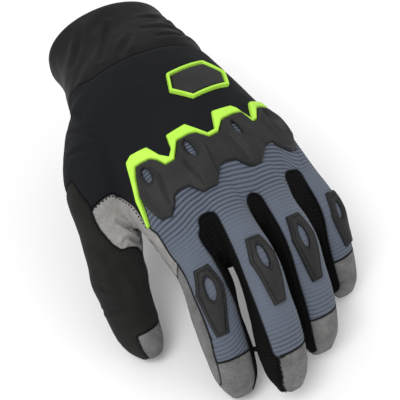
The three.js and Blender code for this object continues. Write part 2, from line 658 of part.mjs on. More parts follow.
const finish = (color, roughness) => ({ color, roughness, metalness: 0 });
const blackStretch = finish('#1b1b1c', 0.75);
const blackKnit = finish('#202226', 0.9);
const slateKnit = finish('#6b7280', 0.9);
const greySuede = finish('#7c7873', 0.95);
const lightSuede = finish('#8e8a86', 0.95);
const blackSuede = finish('#2c2b28', 0.95);
const blackMesh = finish('#141415', 0.85);
const darkRubber = finish('#3a3a3a', 0.6);
const neonRubber = finish('#c6fb5e', 0.5);

const pieces = [
  ['cuff', panels.cuff, blackStretch],
  ['back_upper', panels.back_upper, blackKnit],
  ['back_lower', panels.back_lower, slateKnit],
  ['palm', panels.palm, greySuede],
  ['thumb_web', panels.thumb_web, lightSuede],
  ['thumb_back', panels.thumb_back, blackSuede],
  ['thumb_tip', panels.thumb_tip, greySuede],
  ['gusset_index_middle', panels.gusset_index_middle, blackMesh],
  ['gusset_middle_ring', panels.gusset_middle_ring, blackMesh],
  ['gusset_ring_little', panels.gusset_ring_little, blackMesh],
  ...fingers.map(({ name }) => [`fingertip_${name}`, panels[`fingertip_${name}`], greySuede]),
  ...fingers.map((finger) => [`finger_guard_${finger.name}`, fingerGuard(finger), darkRubber]),
  ['knuckle_protector', knuckleProtector(), darkRubber],
  ['zigzag_trim', zigzagTrim(), neonRubber],
  ['badge_pad', badgePad(), darkRubber],
  ['badge_line', badgeLine(), neonRubber],
];

function toGeometry(solid) {
  const { vertProperties, triVerts } = solid.getMesh();
  const geometry = new THREE.BufferGeometry();
  geometry.setAttribute('position', new THREE.BufferAttribute(vertProperties, 3));
  geometry.setIndex(new THREE.BufferAttribute(triVerts, 1));
  geometry.computeVertexNormals();
  return geometry;
}

const glove = new THREE.Group();
for (const [name, solid, look] of pieces) {
  const mesh = new THREE.Mesh(toGeometry(solid), new THREE.MeshStandardMaterial(look));
  mesh.name = name;
  glove.add(mesh);
}

export default glove;
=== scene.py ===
import math

import bpy
import numpy as np
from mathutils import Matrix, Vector
from mathutils.kdtree import KDTree


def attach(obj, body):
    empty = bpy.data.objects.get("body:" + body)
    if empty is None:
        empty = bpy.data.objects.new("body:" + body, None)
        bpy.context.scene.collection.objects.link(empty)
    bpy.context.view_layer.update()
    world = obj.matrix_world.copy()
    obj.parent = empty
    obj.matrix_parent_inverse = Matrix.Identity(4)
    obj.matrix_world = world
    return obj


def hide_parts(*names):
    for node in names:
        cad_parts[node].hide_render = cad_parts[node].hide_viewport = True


# Looks of a motorcycle glove, in the form it has on a hand. Sizes are in millimetres until a mesh is made.
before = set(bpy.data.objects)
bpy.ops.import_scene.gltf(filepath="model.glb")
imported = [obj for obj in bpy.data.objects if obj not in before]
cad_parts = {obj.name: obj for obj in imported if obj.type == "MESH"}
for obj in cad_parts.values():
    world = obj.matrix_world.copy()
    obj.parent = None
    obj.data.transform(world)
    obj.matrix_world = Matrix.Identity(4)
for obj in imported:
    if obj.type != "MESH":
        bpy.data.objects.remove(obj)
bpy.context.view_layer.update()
bpy.ops.object.select_all(action="DESELECT")
print("frame loaded")

# Camera first, at the photograph's angle
cameraView = {"place": (-0.1492, -0.3523, 0.2797), "tilt": 43.7, "turn": -30.3, "lens": 80.55}

cameraData = bpy.data.cameras.new("camera")
cameraData.lens = cameraView["lens"]
cameraData.sensor_width = 36
camera = bpy.data.objects.new("camera", cameraData)
camera.location = cameraView["place"]
camera.rotation_euler = (math.radians(cameraView["tilt"]), 0, math.radians(cameraView["turn"]))
bpy.context.scene.collection.objects.link(camera)
bpy.context.scene.camera = camera

# The hand's sizes, the same as in the part's source
hand = {
    "reach": 111, "breadth": 98, "depth": 46, "thumbLength": 140, "thumbBreadth": 25,
    "cuff": 42, "wall": 1.6, "voxel": 1.0, "softening": 7, "stripSink": 0.8, "ribHeight": 0.13,
}

# Section rows: at, side, breadth, top, waist, bottom, tilt
handRows = [
    (0, 0.01, 0.68, 0.5, 0, -0.5, 0), (0.13, 0.01, 0.67, 0.49, 0, -0.5, 0),
    (0.27, 0, 0.73, 0.5, 0, -0.5, 0), (0.45, -0.015, 0.81, 0.5, -0.03, -0.5, 0),
    (0.62, -0.015, 0.86, 0.48, -0.08, -0.5, 0), (0.78, -0.01, 0.89, 0.44, -0.12, -0.46, 1),
    (0.93, 0, 0.9, 0.38, -0.16, -0.41, 3), (1.05, 0.005, 0.87, 0.31, -0.22, -0.4, 5),
    (1.15, 0.005, 0.82, 0.19, -0.28, -0.45, 7), (1.24, 0.01, 0.76, 0.02, -0.34, -0.52, 8),
    (1.31, 0.01, 0.7, -0.2, -0.4, -0.54, 8),
]

# Fold rows: at, length, turn, spread, slant, swell
foldRows = [
    (0.15, 0.02, 75, 60, 0.2, 0.024), (0.19, 0.018, 70, 55, 0.2, -0.016),
    (0.225, 0.02, 70, 60, 0.2, 0.024), (0.265, 0.018, 70, 55, 0.2, -0.016),
    (0.31, 0.022, 70, 60, 0.2, 0.026), (0.375, 0.02, 0, 180, 0, -0.018),
    (0.12, 0.03, -40, 70, -0.9, 0.018), (0.23, 0.03, -30, 80, -0.9, -0.018),
    (0.42, 0.022, -95, 50, 0.1, 0.028), (0.48, 0.02, -95, 50, 0.1, -0.018),
    (0.55, 0.025, -95, 50, 0.1, 0.028), (0.62, 0.02, -95, 45, 0.1, -0.018),
]

fingers = {
    "index": {"length": 97, "breadth": 22, "knuckle": (-0.296, 0.964, -0.065), "bones": (0.474, 0.268),
              "flex": (25, 22, 9), "splay": 1.5, "seam": 0.785, "guard": (0.405, 0.675, -3.9), "bow": 2.6,
              "slim": (0.42, 0.22, 0.12, 0, 1)},
    "middle": {"length": 106, "breadth": 22.5, "knuckle": (-0.102, 0.991, 0.076), "bones": (0.472, 0.292),
               "flex": (16, 30, 14), "splay": -0.5, "seam": 0.806, "guard": (0.39, 0.62, 2),
               "slim": (0.44, 0.26, 0.38, 0.5, -1)},
    "ring": {"length": 103, "breadth": 21.5, "knuckle": (0.133, 0.955, 0.065), "bones": (0.456, 0.291),
             "flex": (20, 30, 15), "splay": 1, "seam": 0.79, "guard": (0.395, 0.642, 1.2)},
    "little": {"length": 87.5, "breadth": 20, "knuckle": (0.347, 0.883, -0.12), "bones": (0.457, 0.251),
               "flex": (24, 31, 7), "splay": 9.5, "seam": 0.745, "guard": (0.43, 0.695, 4)},
}
fingerNames = list(fingers)

# Section rows of a finger: at, wide, deep, lift
fingerRows = [
    (-0.3, 0.84, 0.82, 0), (-0.12, 0.98, 1.0, 0), (0, 1.04, 1.1, 0.02), (0.14, 1.04, 1.1, 0),
    (0.3, 1.0, 1.02, 0), (0.42, 1.0, 1.0, 0.02), (0.5, 1.02, 1.0, 0.02), (0.6, 0.99, 0.94, 0),
    (0.72, 0.98, 0.88, 0), (0.84, 0.94, 0.8, 0), (0.93, 0.82, 0.66, 0), (1, 0.5, 0.36, 0),
]

thumb = {
    "root": (-0.163, 0.306, -0.152), "out": (-0.75, 0, 0.66),
    # across, along and up, in shares of the thumb's length
    "route": [(0, 0, 0), (-0.114, 0.186, 0), (-0.2, 0.357, -0.014), (-0.254, 0.529, -0.093),
              (-0.275, 0.629, -0.2), (-0.275, 0.714, -0.307), (-0.257, 0.779, -0.393)],
    # at, wide, deep
    "rows": [(0, 1.04, 1.04), (0.15, 1.28, 1.28), (0.3, 1.32, 1.32), (0.42, 1.24, 1.24),
             (0.54, 1.08, 1.08), (0.62, 1.02, 1.04), (0.67, 0.97, 0.94), (0.72, 1.02, 0.96),
             (0.78, 0.94, 0.88), (0.88, 0.9, 0.76), (0.95, 0.76, 0.6), (1, 0.44, 0.36)],
}

# Outlines seen from above: across in palm breadths, along in knuckle reaches
outlines = {
    "trimOuter": [(-0.408, 1.1), (-0.405, 1.005), (-0.372, 0.88), (-0.365, 0.86), (-0.336, 0.847),
                  (-0.264, 0.864), (-0.237, 0.925), (-0.209, 0.953), (-0.183, 0.927), (-0.168, 0.864),
                  (-0.069, 0.854), (-0.033, 0.893), (-0.001, 0.929), (0.041, 0.922), (0.081, 0.839),
                  (0.182, 0.832), (0.204, 0.847), (0.243, 0.912), (0.256, 0.898), (0.301, 0.813),
                  (0.39, 0.79)],
    "trimInner": [(-0.404, 1.1), (-0.395, 1.05), (-0.389, 1.008), (-0.365, 0.94), (-0.344, 0.902),
                  (-0.281, 0.914), (-0.259, 0.936), (-0.239, 0.975), (-0.195, 0.977), (-0.141, 0.908),
                  (-0.076, 0.903), (-0.045, 0.91), (-0.003, 0.949), (0.049, 0.941), (0.099, 0.89),
                  (0.176, 0.873), (0.214, 0.872), (0.24, 0.928), (0.27, 0.916), (0.32, 0.845),
                  (0.41, 0.815)],
    "protectorFoot": [(-0.384, 1.053), (-0.373, 1.098), (-0.359, 1.132), (-0.317, 1.15), (-0.287, 1.127),
                      (-0.268, 1.098), (-0.244, 1.092), (-0.199, 1.099), (-0.159, 1.151), (-0.095, 1.152),
                      (-0.037, 1.081), (0.001, 1.072), (0.045, 1.076), (0.08, 1.107), (0.113, 1.12),
                      (0.157, 1.118), (0.228, 1.043), (0.273, 1.034), (0.301, 1.057), (0.353, 1.066),
                      (0.406, 1.045), (0.437, 0.97), (0.437, 0.86)],
    "webPatch": [(-0.75, 0.905), (-0.545, 0.905), (-0.463, 0.899), (-0.442, 0.921), (-0.422, 0.995),
                 (-0.408, 1.102), (-0.393, 1.139), (-0.386, 1.177), (-0.377, 1.22), (-0.367, 1.262),
                 (-0.75, 1.262)],
    "thumbSeam": [(-0.85, 0.64), (-0.63, 0.7), (-0.583, 0.743), (-0.585, 0.82), (-0.577, 0.88),
                  (-0.585, 0.95), (-0.584, 0.987), (-0.574, 1.022), (-0.561, 1.055), (-0.533, 1.08),
                  (-0.502, 1.077), (-0.45, 1.07), (-0.34, 1.08), (-0.34, 1.4), (-0.85, 1.4)],
    "indexSide": [(-0.406, 1.09), (-0.393, 1.139), (-0.386, 1.177), (-0.377, 1.22), (-0.367, 1.262),
                  (-0.363, 1.31), (-0.365, 1.35), (-0.368, 1.385), (-0.367, 1.43), (-0.366, 1.46),
                  (-0.368, 1.51), (-0.374, 1.54), (-0.375, 1.7), (-0.7, 1.7), (-0.7, 1.09)],
}

# Slot rows of the strips between the fingers: from, then the strip's edge on the near finger and on
# the far one, at the slot's start and at its end, in half breadths
slotRows = [(0.215, 0.42, 0.6, 0.5, 0.68), (0.205, 1.0, 0.95, 0.54, 0.66), (0.2, 1.05, 0.95, 0.2, 0.66)]


# Tables, lines and distances

def rowsAt(rows, column, at):
    # smooth curve through one column of a table
    table = np.array(rows, float)
    x, y = table[:, 0], table[:, column]
    at = np.clip(np.asarray(at, float), x[0], x[-1])
    slope = np.empty(len(x))
    slope[1:-1] = (y[2:] - y[:-2]) / (x[2:] - x[:-2])
    slope[0] = (y[1] - y[0]) / (x[1] - x[0])
    slope[-1] = (y[-1] - y[-2]) / (x[-1] - x[-2])
    i = np.clip(np.searchsorted(x, at, side="right") - 1, 0, len(x) - 2)
    run = x[i + 1] - x[i]
    t = (at - x[i]) / run
    start = (2 * t**3 - 3 * t**2 + 1) * y[i] + (t**3 - 2 * t**2 + t) * run * slope[i]
    end = (3 * t**2 - 2 * t**3) * y[i + 1] + (t**3 - t**2) * run * slope[i + 1]
    return start + end


def smoothStep(x, low, high):
    t = np.clip((x - low) / (high - low), 0, 1)
    return t * t * (3 - 2 * t)


def unit(v):
    return v / np.maximum(np.linalg.norm(v, axis=-1, keepdims=True), 1e-12)


def uniqueEdges(ends):
    # unordered pairs of corners, each once, with where every given pair went
    low, high = ends.min(1), ends.max(1)
    span = int(high.max()) + 1
    keys, back, counts = np.unique(low * span + high, return_inverse=True, return_counts=True)
    return np.stack([keys // span, keys % span], 1), back.ravel(), counts


def triangleEnds(triangles):
    return np.vstack([triangles[:, [0, 1]], triangles[:, [1, 2]], triangles[:, [2, 0]]])


def planPoints(name):
    return [(across * hand["breadth"], -along * hand["reach"]) for across, along in outlines[name]]


def inside(outline, points):
    # distance inwards from a closed outline in the plane, below zero outside it
    ring = np.array(outline, float)
    best = np.full(len(points), 1e9)
    isIn = np.zeros(len(points), bool)
    px, py = points[:, 0], points[:, 1]
    for a, b in zip(ring, np.roll(ring, -1, axis=0)):
        edge = b - a
        t = np.clip(((px - a[0]) * edge[0] + (py - a[1]) * edge[1]) / max(edge @ edge, 1e-12), 0, 1)
        best = np.minimum(best, np.hypot(px - a[0] - t * edge[0], py - a[1] - t * edge[1]))
        if a[1] != b[1]:
            crosses = (a[1] > py) != (b[1] > py)
            isIn ^= crosses & (px < (b[0] - a[0]) * (py - a[1]) / (b[1] - a[1]) + a[0])
    return np.where(isIn, best, -best)


def rounded(outline, steps=6):
    # the same closed outline as one smooth curve
    ring = np.array(outline, float)
    a, b, c, d = (np.roll(ring, k, axis=0)[:, None] for k in (1, 0, -1, -2))
    t = (np.arange(steps) / steps)[None, :, None]
    curve = 0.5 * (2 * b + (c - a) * t + (2 * a - 5 * b + 4 * c - d) * t**2 + (3 * b - a - 3 * c + d) * t**3)
    return curve.reshape(-1, 2)


def fingerLine(finger):
    # frames along a finger, as arrays of share, point, side, onwards and back
    shares = np.linspace(-0.3, 1.14, 217)
    middle = (shares[1:] + shares[:-1]) / 2
    length, yaw = finger["length"], math.radians(finger["splay"])
    joints = (0, finger["bones"][0], finger["bones"][0] + finger["bones"][1])

    def heading(share):
        pitch = np.radians(sum(turn * smoothStep(share, joint - 0.09, joint + 0.09)
                               for turn, joint in zip(finger["flex"], joints)))
        return np.stack([np.cos(pitch) * math.sin(yaw), -np.cos(pitch) * math.cos(yaw), -np.sin(pitch)], -1)

    steps = heading(middle) * np.diff(shares)[:, None] * length
    route = np.vstack([np.zeros(3), np.cumsum(steps, 0)])
    across, along, up = finger["knuckle"]
    knuckle = np.array([across * hand["breadth"], -along * hand["reach"], up * hand["depth"]])
    route += knuckle - np.array([np.interp(0, shares, route[:, k]) for k in range(3)])
    # cloth puts a slight sideways bow into a finger
    route += (finger.get("bow", 0) * np.exp(-((shares - 0.42) / 0.17) ** 2)[:, None]
              * np.array([math.cos(yaw), math.sin(yaw), 0]))
    onwards = heading(shares)
    side = np.tile([math.cos(yaw), math.sin(yaw), 0], (len(shares), 1))
    return {"share": shares, "point": route, "side": side, "onwards": onwards,
            "back": np.cross(onwards, side), "length": length}


def thumbLine():
    across, along, up = thumb["root"]
    root = np.array([across * hand["breadth"], -along * hand["reach"], up * hand["depth"]])
    stops = root + np.array(thumb["route"]) * [hand["thumbLength"], -hand["thumbLength"], hand["thumbLength"]]
    chord = np.r_[0, np.cumsum(np.linalg.norm(np.diff(stops, axis=0), axis=1))]
    fine = np.linspace(0, chord[-1], 400)
    curve = np.stack([rowsAt(np.c_[chord, stops], k, fine) for k in (1, 2, 3)], -1)
    run = np.r_[0, np.cumsum(np.linalg.norm(np.diff(curve, axis=0), axis=1))]
    shares = np.linspace(0, 1, 141)
    point = np.stack([np.interp(shares * run[-1], run, curve[:, k]) for k in range(3)], -1)
    onwards = unit(np.gradient(point, axis=0))
    side = unit(np.cross(onwards, np.array(thumb["out"])))
    back = unit(np.cross(side, onwards))
    beyond = np.linspace(0.02, 0.14, 7)
    point = np.vstack([point, point[-1] + onwards[-1] * beyond[:, None] * run[-1]])
    stretch = [np.vstack([rows, np.tile(rows[-1], (7, 1))]) for rows in (side, onwards, back)]
    return {"share": np.r_[shares, 1 + beyond], "point": point, "side": stretch[0],
            "onwards": stretch[1], "back": stretch[2], "length": run[-1]}


fingerLines = {name: fingerLine(finger) for name, finger in fingers.items()}
thumbPath = thumbLine()


# The worn form as one closed skin

def ovalTurns(sides):
    return 2 * np.pi * np.arange(sides) / sides


def oval(turn, halfBreadth, halfDepth, squareness):
    bulge = lambda value: np.sign(value) * np.abs(value) ** (2 / squareness)
    return halfBreadth * bulge(np.sin(turn)), halfDepth * bulge(np.cos(turn))


def foldSwell(at, turn):
    total = np.zeros_like(turn)
    for place, length, middle, spread, slant, swell in foldRows:
        away = np.arctan2(np.sin(turn - math.radians(middle)), np.cos(turn - math.radians(middle)))
        sideways = 1 - smoothStep(np.abs(away), 0, math.radians(spread))
        off = at - place - slant * away / (2 * np.pi)
        total += swell * hand["depth"] * sideways * np.exp(-((off / length) ** 2))
    return total


def handRings():
    turn = ovalTurns(120)
    rings = []
    for at in np.linspace(-0.05, handRows[-1][0], 130):
        side, breadth, top, waist, bottom, tilt = (rowsAt(handRows, k, max(at, 0)) for k in range(1, 7))
        isBack = np.cos(turn) >= 0
        depth = np.where(isBack, top - waist, waist - bottom) * hand["depth"]
        swell = foldSwell(at, turn)
        rightBack, upBack = oval(turn, breadth * hand["breadth"] / 2 + swell, depth + swell, 2.1)
        rightPalm, upPalm = oval(turn, breadth * hand["breadth"] / 2 + swell, depth + swell, 2.6)
        right, up = np.where(isBack, rightBack, rightPalm), np.where(isBack, upBack, upPalm)
        lean = math.radians(float(tilt))
        x = side * hand["breadth"] + right * math.cos(lean) + up * math.sin(lean)
        z = waist * hand["depth"] + up * math.cos(lean) - right * math.sin(lean)
        rings.append(np.stack([x, np.full_like(x, -at * hand["reach"]), z], -1))
    return rings


def slimmed(right, up, share, middle, width, aside, under, facing):
    # cloth lies closer to a finger on the side that faces its neighbour
    amount = math.exp(-((share - middle) / width) ** 2)
    toward = np.clip(facing * right / np.abs(right).max(), 0, 1)
    return (np.where(toward > 0, right * (1 - aside * amount), right),
            np.where(up < 0, up * (1 - under * amount * toward), up))


def lineRings(line, low, high, half, lift, steps, sides=56, slim=None):
    turn = ovalTurns(sides)
    rings = []
    for share in np.linspace(low, high, steps):
        frameAt = {k: np.array([np.interp(share, line["share"], line[k][:, j]) for j in range(3)])
                   for k in ("point", "side", "back")}
        right, up = oval(turn, half(share)[0], half(share)[1], 2.3)
        if slim:
            right, up = slimmed(right, up, share, *slim)
        centre = frameAt["point"] + frameAt["back"] * lift(share)
        rings.append(centre + right[:, None] * frameAt["side"] + up[:, None] * frameAt["back"])
    return rings


def loftMesh(rings):
    sides, points, faces = len(rings[0]), np.vstack(rings), []
    for i in range(len(rings) - 1):
        for k in range(sides):
            a, b = i * sides + k, i * sides + (k + 1) % sides
            faces.append((a, b, b + sides, a + sides))
    faces.append(tuple(range(sides))[::-1])
    faces.append(tuple(range(len(points) - sides, len(points))))
    return points, faces


def addMesh(name, points, faces, scale=0.001):
    mesh = bpy.data.meshes.new(name)
    mesh.from_pydata((np.asarray(points) * scale).tolist(), [], [tuple(int(i) for i in f) for f in faces])
    mesh.validate()
    mesh.update()
    made = bpy.data.objects.new(name, mesh)
    bpy.context.scene.collection.objects.link(made)
    return made


def only(made):
    bpy.ops.object.select_all(action="DESELECT")
    made.select_set(True)
    bpy.context.view_layer.objects.active = made


def skinMesh():
    parts = [handRings()]
    for name, finger in fingers.items():
        wide = lambda share: (float(rowsAt(fingerRows, 1, share)) * finger["breadth"] / 2,
                              float(rowsAt(fingerRows, 2, share)) * finger["breadth"] / 2)
        lift = lambda share: float(rowsAt(fingerRows, 3, share)) * finger["breadth"]
        parts.append(lineRings(fingerLines[name], -0.3, 1.0, wide, lift, 110, slim=finger.get("slim")))
    wide = lambda share: (float(rowsAt(thumb["rows"], 1, share)) * hand["thumbBreadth"] / 2,
                          float(rowsAt(thumb["rows"], 2, share)) * hand["thumbBreadth"] / 2)
    parts.append(lineRings(thumbPath, 0, 1.0, wide, lambda share: 0, 110))
    points, faces, start = [], [], 0
    for rings in parts:
        p, f = loftMesh(rings)
        points.append(p)
        faces += [tuple(i + start for i in face) for face in f]
        start += len(p)
    # the remesh works in tenths of a metre, so that its voxels aren't tiny
    form = addMesh("handForm", np.vstack(points), faces, 0.1)
    only(form)
    bpy.ops.object.mode_set(mode="EDIT")
    bpy.ops.mesh.select_all(action="SELECT")
    bpy.ops.mesh.normals_make_consistent(inside=False)
    bpy.ops.object.mode_set(mode="OBJECT")
    form.data.remesh_voxel_size = hand["voxel"] * 0.1
    form.data.use_remesh_fix_poles = False
    bpy.ops.object.voxel_remesh()
    soften = form.modifiers.new("soften", "SMOOTH")
    soften.factor, soften.iterations = 0.5, hand["softening"]
    bpy.ops.object.modifier_apply(modifier="soften")
    triangulate = form.modifiers.new("triangulate", "TRIANGULATE")
    bpy.ops.object.modifier_apply(modifier=triangulate.name)
    points = np.empty(len(form.data.vertices) * 3)
    form.data.vertices.foreach_get("co", points)
    corners = np.empty(len(form.data.polygons) * 3, np.int64)
    form.data.polygons.foreach_get("vertices", corners)
    bpy.data.objects.remove(form)
    return points.reshape(-1, 3) * 10, corners.reshape(-1, 3)


def vertexNormals(points, triangles):
    a, b, c = (points[triangles[:, k]] for k in range(3))
    facing = np.tile(np.cross(b - a, c - a), (3, 1))
    corner = triangles.T.ravel()
    return unit(np.stack([np.bincount(corner, facing[:, k], len(points)) for k in range(3)], -1))


skinPoints, skinTriangles = skinMesh()
skinNormals = vertexNormals(skinPoints, skinTriangles)
if (skinNormals * (skinPoints - skinPoints.mean(0))).sum() < 0:
    skinTriangles = skinTriangles[:, ::-1]
    skinNormals = -skinNormals
print("skin", len(skinPoints), "points", len(skinTriangles), "triangles")


# Places on the skin, measured along the hand, the fingers and the thumb

def alongLine(line, points):
    # share, side and back of each point against the nearest place of a line
    near = np.empty(len(points), int)
    for part in np.array_split(np.arange(len(points)), max(1, len(points) // 20000)):
        p = points[part]
        far = (p**2).sum(1)[:, None] - 2 * p @ line["point"].T + (line["point"] ** 2).sum(1)[None]
        near[part] = far.argmin(1)
    off = points - line["point"][near]
    share = line["share"][near] + (off * line["onwards"][near]).sum(1) / line["length"]
    return share, (off * line["side"][near]).sum(1), (off * line["back"][near]).sum(1)


def halfWidth(name, share):
    return rowsAt(fingerRows, 1, share) * fingers[name]["breadth"] / 2


class Place(dict):
    # points, and their places along the fingers and the thumb once those are asked for
    def __missing__(self, name):
        line = thumbPath if name == "thumb" else fingerLines[name]
        self[name] = alongLine(line, self["points"])
        return self[name]


def measure(points):
    return Place(points=points)


def slotField(place, index):
    left, right = fingerNames[index], fingerNames[index + 1]
    start, near, nearEnd, far, farEnd = slotRows[index]
    shareL, sideL, backL = place[left]
    shareR, sideR, backR = place[right]
    near = near + (nearEnd - near) * smoothStep(shareL, start, 0.5)
    far = far + (farEnd - far) * smoothStep(shareR, start, 0.75)
    # each finger's own side carries its own edge of the strip
    closer = smoothStep(np.hypot(sideL, backL) / halfWidth(left, shareL)
                        - np.hypot(sideR, backR) / halfWidth(right, shareR), -0.12, 0.12)
    edgeL, edgeR = sideL - near * halfWidth(left, shareL), -sideR - far * halfWidth(right, shareR)
    apart = smoothStep(shareL, 0.24, 0.36)
    between = (1 - apart) * np.minimum(edgeL, edgeR) + apart * ((1 - closer) * edgeL + closer * edgeR)
    first = (shareL - start) * fingers[left]["length"]
    radius = 3.4
    cornered = np.hypot(np.maximum(radius - between, 0), np.maximum(radius - first, 0))
    field = np.where((between < radius) | (first < radius), radius - cornered, np.minimum(between, first))
    low = ((1 - closer) * (backL + 0.4 * fingers[left]["breadth"])
           + closer * (backR + 0.4 * fingers[right]["breadth"]))
    nearby = 1.3 * (halfWidth(left, shareL) + halfWidth(right, shareR)) - np.abs(sideL)
    return np.minimum(np.minimum(field, low), nearby)


def fingerTopField(place, name, start):
    share, side, back = place[name]
    half = halfWidth(name, share)
    left = 1.15 * half if name == "index" else half + 2
    right = 0.8 * half if name == "little" else half + 2
    return np.minimum.reduce([(share - start) * fingers[name]["length"], back + 0.12 * half,
                              side + left, right - side])


def handTopField(place):
    x, y, z = place["points"].T
    at = np.clip(-y / hand["reach"], 0, handRows[-1][0])
    breadth, top, waist, bottom = (rowsAt(handRows, k, at) for k in (2, 3, 4, 5))
    radial = waist + 0.5 * (bottom - waist)
    ulnar = waist + 0.5 * (top - waist)
    centre = waist + 0.8 * smoothStep(at, 1, handRows[-1][0]) * (top - waist)
    across = x / (breadth * hand["breadth"] / 2)
    floor = np.where(across < 0, radial + (centre - radial) * np.clip(1 + across / 0.7, 0, 1),
                     centre + (ulnar - centre) * np.clip(across, 0, 1))
    return np.minimum(z - floor * hand["depth"], (handRows[-1][0] + y / hand["reach"]) * hand["reach"])


def thumbField(place, start, low, high, right):
    share, side, back = place["thumb"]
    half = 0.9 * hand["thumbBreadth"]
    return np.minimum.reduce([(share - start) * thumbPath["length"], side + half, right * half - side,
                              back - low * half, high * half - back])


def planField(place, name):
    return inside(planPoints(name), place["points"][:, :2])


def upperBackField(place):
    edge = planPoints("trimInner")
    far = 400
    return inside(edge + [(far, edge[-1][1]), (far, far), (-far, far), (-far, edge[0][1])],
                  place["points"][:, :2])


def backField(place):
    tops = [fingerTopField(place, name, 0.1) for name in fingers]
    return np.minimum(np.maximum.reduce([handTopField(place), *tops]), -planField(place, "indexSide"))


def webField(place):
    down = place["points"][:, 2] + 0.75 * hand["depth"]
    return np.minimum.reduce([planField(place, "webPatch"), down, -thumbField(place, 0.2, -1, -0.35, 1)])


# Cuts in the order in which the panels are taken off the skin
cuts = [
    ("beyond", lambda place: place["points"][:, 1]),
    ("cuff", lambda place: (place["points"][:, 1] + hand["cuff"]
                            - 6 * smoothStep(-place["points"][:, 0], 26, 37))),
    ("gusset_index_middle", lambda place: slotField(place, 0)),
    ("gusset_middle_ring", lambda place: slotField(place, 1)),
    ("gusset_ring_little", lambda place: slotField(place, 2)),
    ("thumb_tip", lambda place: np.minimum(thumbField(place, 0.895, -0.4, 1, 1),
                                           45 * (place["thumb"][0] - 0.9) - 5.8 - place["thumb"][1])),
    ("thumb_back", lambda place: np.minimum(thumbField(place, 0.3, -0.35, 1, 1),
                                            planField(place, "thumbSeam"))),
    ("thumb_web", webField),
    ("palm", lambda place: -backField(place)),
    *[(f"fingertip_{name}", lambda place, name=name: fingerTopField(place, name, fingers[name]["seam"]))
      for name in fingers],
    ("back_upper", upperBackField),
]


def splitAlong(points, triangles, field, fixed, among, carried=None):
    # cuts the triangles in among along the field's zero line, and first pulls near corners onto it
    ends = uniqueEdges(triangleEnds(triangles[among]))[0]
    value = field.copy()
    crosses = value[ends[:, 0]] * value[ends[:, 1]] < 0
    pairs = ends[crosses]
    share = value[pairs[:, 0]] / (value[pairs[:, 0]] - value[pairs[:, 1]])
    near = np.r_[pairs[:, 0], pairs[:, 1]]
    other = np.r_[pairs[:, 1], pairs[:, 0]]
    reach = np.r_[share, 1 - share]
    order = np.argsort(reach)
    near, other, reach = near[order], other[order], reach[order]
    first = np.unique(near, return_index=True)[1]
    near, other, reach = near[first], other[first], reach[first]
    close = (reach < 0.3) & ~fixed[near]
    moved = near[close]
    points[moved] += reach[close][:, None] * (points[other[close]] - points[near[close]])
    value[moved] = 0
    crosses = value[ends[:, 0]] * value[ends[:, 1]] < 0
    pairs = ends[crosses]
    share = value[pairs[:, 0]] / (value[pairs[:, 0]] - value[pairs[:, 1]])
    start = len(points)
    if carried is not None:
        carried = np.vstack([carried, carried[pairs[:, 0]] * (1 - share[:, None])
                             + carried[pairs[:, 1]] * share[:, None]])
    low, high = points[pairs[:, 0]], points[pairs[:, 1]]
    points = np.vstack([points, low + share[:, None] * (high - low)])
    value = np.r_[value, np.zeros(len(pairs))]
    key = pairs[:, 0] * (start + 1) + pairs[:, 1]
    sortKey = np.argsort(key)
    key = key[sortKey]

    def middleOf(a, b):
        wanted = np.minimum(a, b) * (start + 1) + np.maximum(a, b)
        spot = np.clip(np.searchsorted(key, wanted), 0, max(len(key) - 1, 0))
        found = key[spot] == wanted if len(key) else np.zeros(len(wanted), bool)
        return np.where(found, start + sortKey[spot] if len(key) else -1, -1)

    mids = np.stack([middleOf(triangles[:, k], triangles[:, (k + 1) % 3]) for k in range(3)], 1)
    count = (mids >= 0).sum(1)
    keep = count == 0
    parts, origins = [triangles[keep]], [np.flatnonzero(keep)]
    for k in range(3):
        a, b, c = triangles[:, k], triangles[:, (k + 1) % 3], triangles[:, (k + 2) % 3]
        # one edge cut, from a to b
        rows = np.flatnonzero((count == 1) & (mids[:, k] >= 0))
        m = mids[rows, k]
        parts += [np.stack([a[rows], m, c[rows]], 1), np.stack([m, b[rows], c[rows]], 1)]
        origins += [rows, rows]
        # two edges cut, on both sides of b
        rows = np.flatnonzero((count == 2) & (mids[:, k] >= 0) & (mids[:, (k + 1) % 3] >= 0))
        m, n = mids[rows, k], mids[rows, (k + 1) % 3]
        parts += [np.stack([m, b[rows], n], 1), np.stack([a[rows], m, n], 1),
                  np.stack([a[rows], n, c[rows]], 1)]
        origins += [rows, rows, rows]
    rows = np.flatnonzero(count == 3)
    parts.append(triangles[rows])
    origins.append(rows)
    return points, np.vstack(parts), np.concatenate(origins), value, carried


def cutPanels(points, triangles):
    label = np.full(len(triangles), -1)
    fixed = np.zeros(len(points), bool)
    for number, (name, fieldOf) in enumerate(cuts):
        field = fieldOf(measure(points))
        points, triangles, origin, value, _ = splitAlong(points, triangles, field, fixed, label < 0)
        label = label[origin]
        isIn = (label < 0) & (value[triangles].sum(1) > 0)
        label[isIn] = number
        fixed = np.r_[fixed, np.zeros(len(value) - len(fixed), bool)] | (value == 0)
    label[label < 0] = len(cuts)
    return points, triangles, label


skinPoints, skinTriangles, skinLabels = cutPanels(skinPoints, skinTriangles)
skinNormals = vertexNormals(skinPoints, skinTriangles)
skinPlace = measure(skinPoints)
panelNames = [name for name, _ in cuts] + ["back_lower"]
print("panels cut", len(skinTriangles), "triangles")


def largestPart(triangles):
    # the biggest connected group of triangles
    corner = np.arange(triangles.max() + 1)
    while True:
        low = corner[triangles].min(1)
        new = corner.copy()
        for k in range(3):
            np.minimum.at(new, triangles[:, k], low)
        new = new[new]
        if (new == corner).all():
            break
        corner = new
    group = corner[triangles[:, 0]]
    names, counts = np.unique(group, return_counts=True)
    return group == names[counts.argmax()]


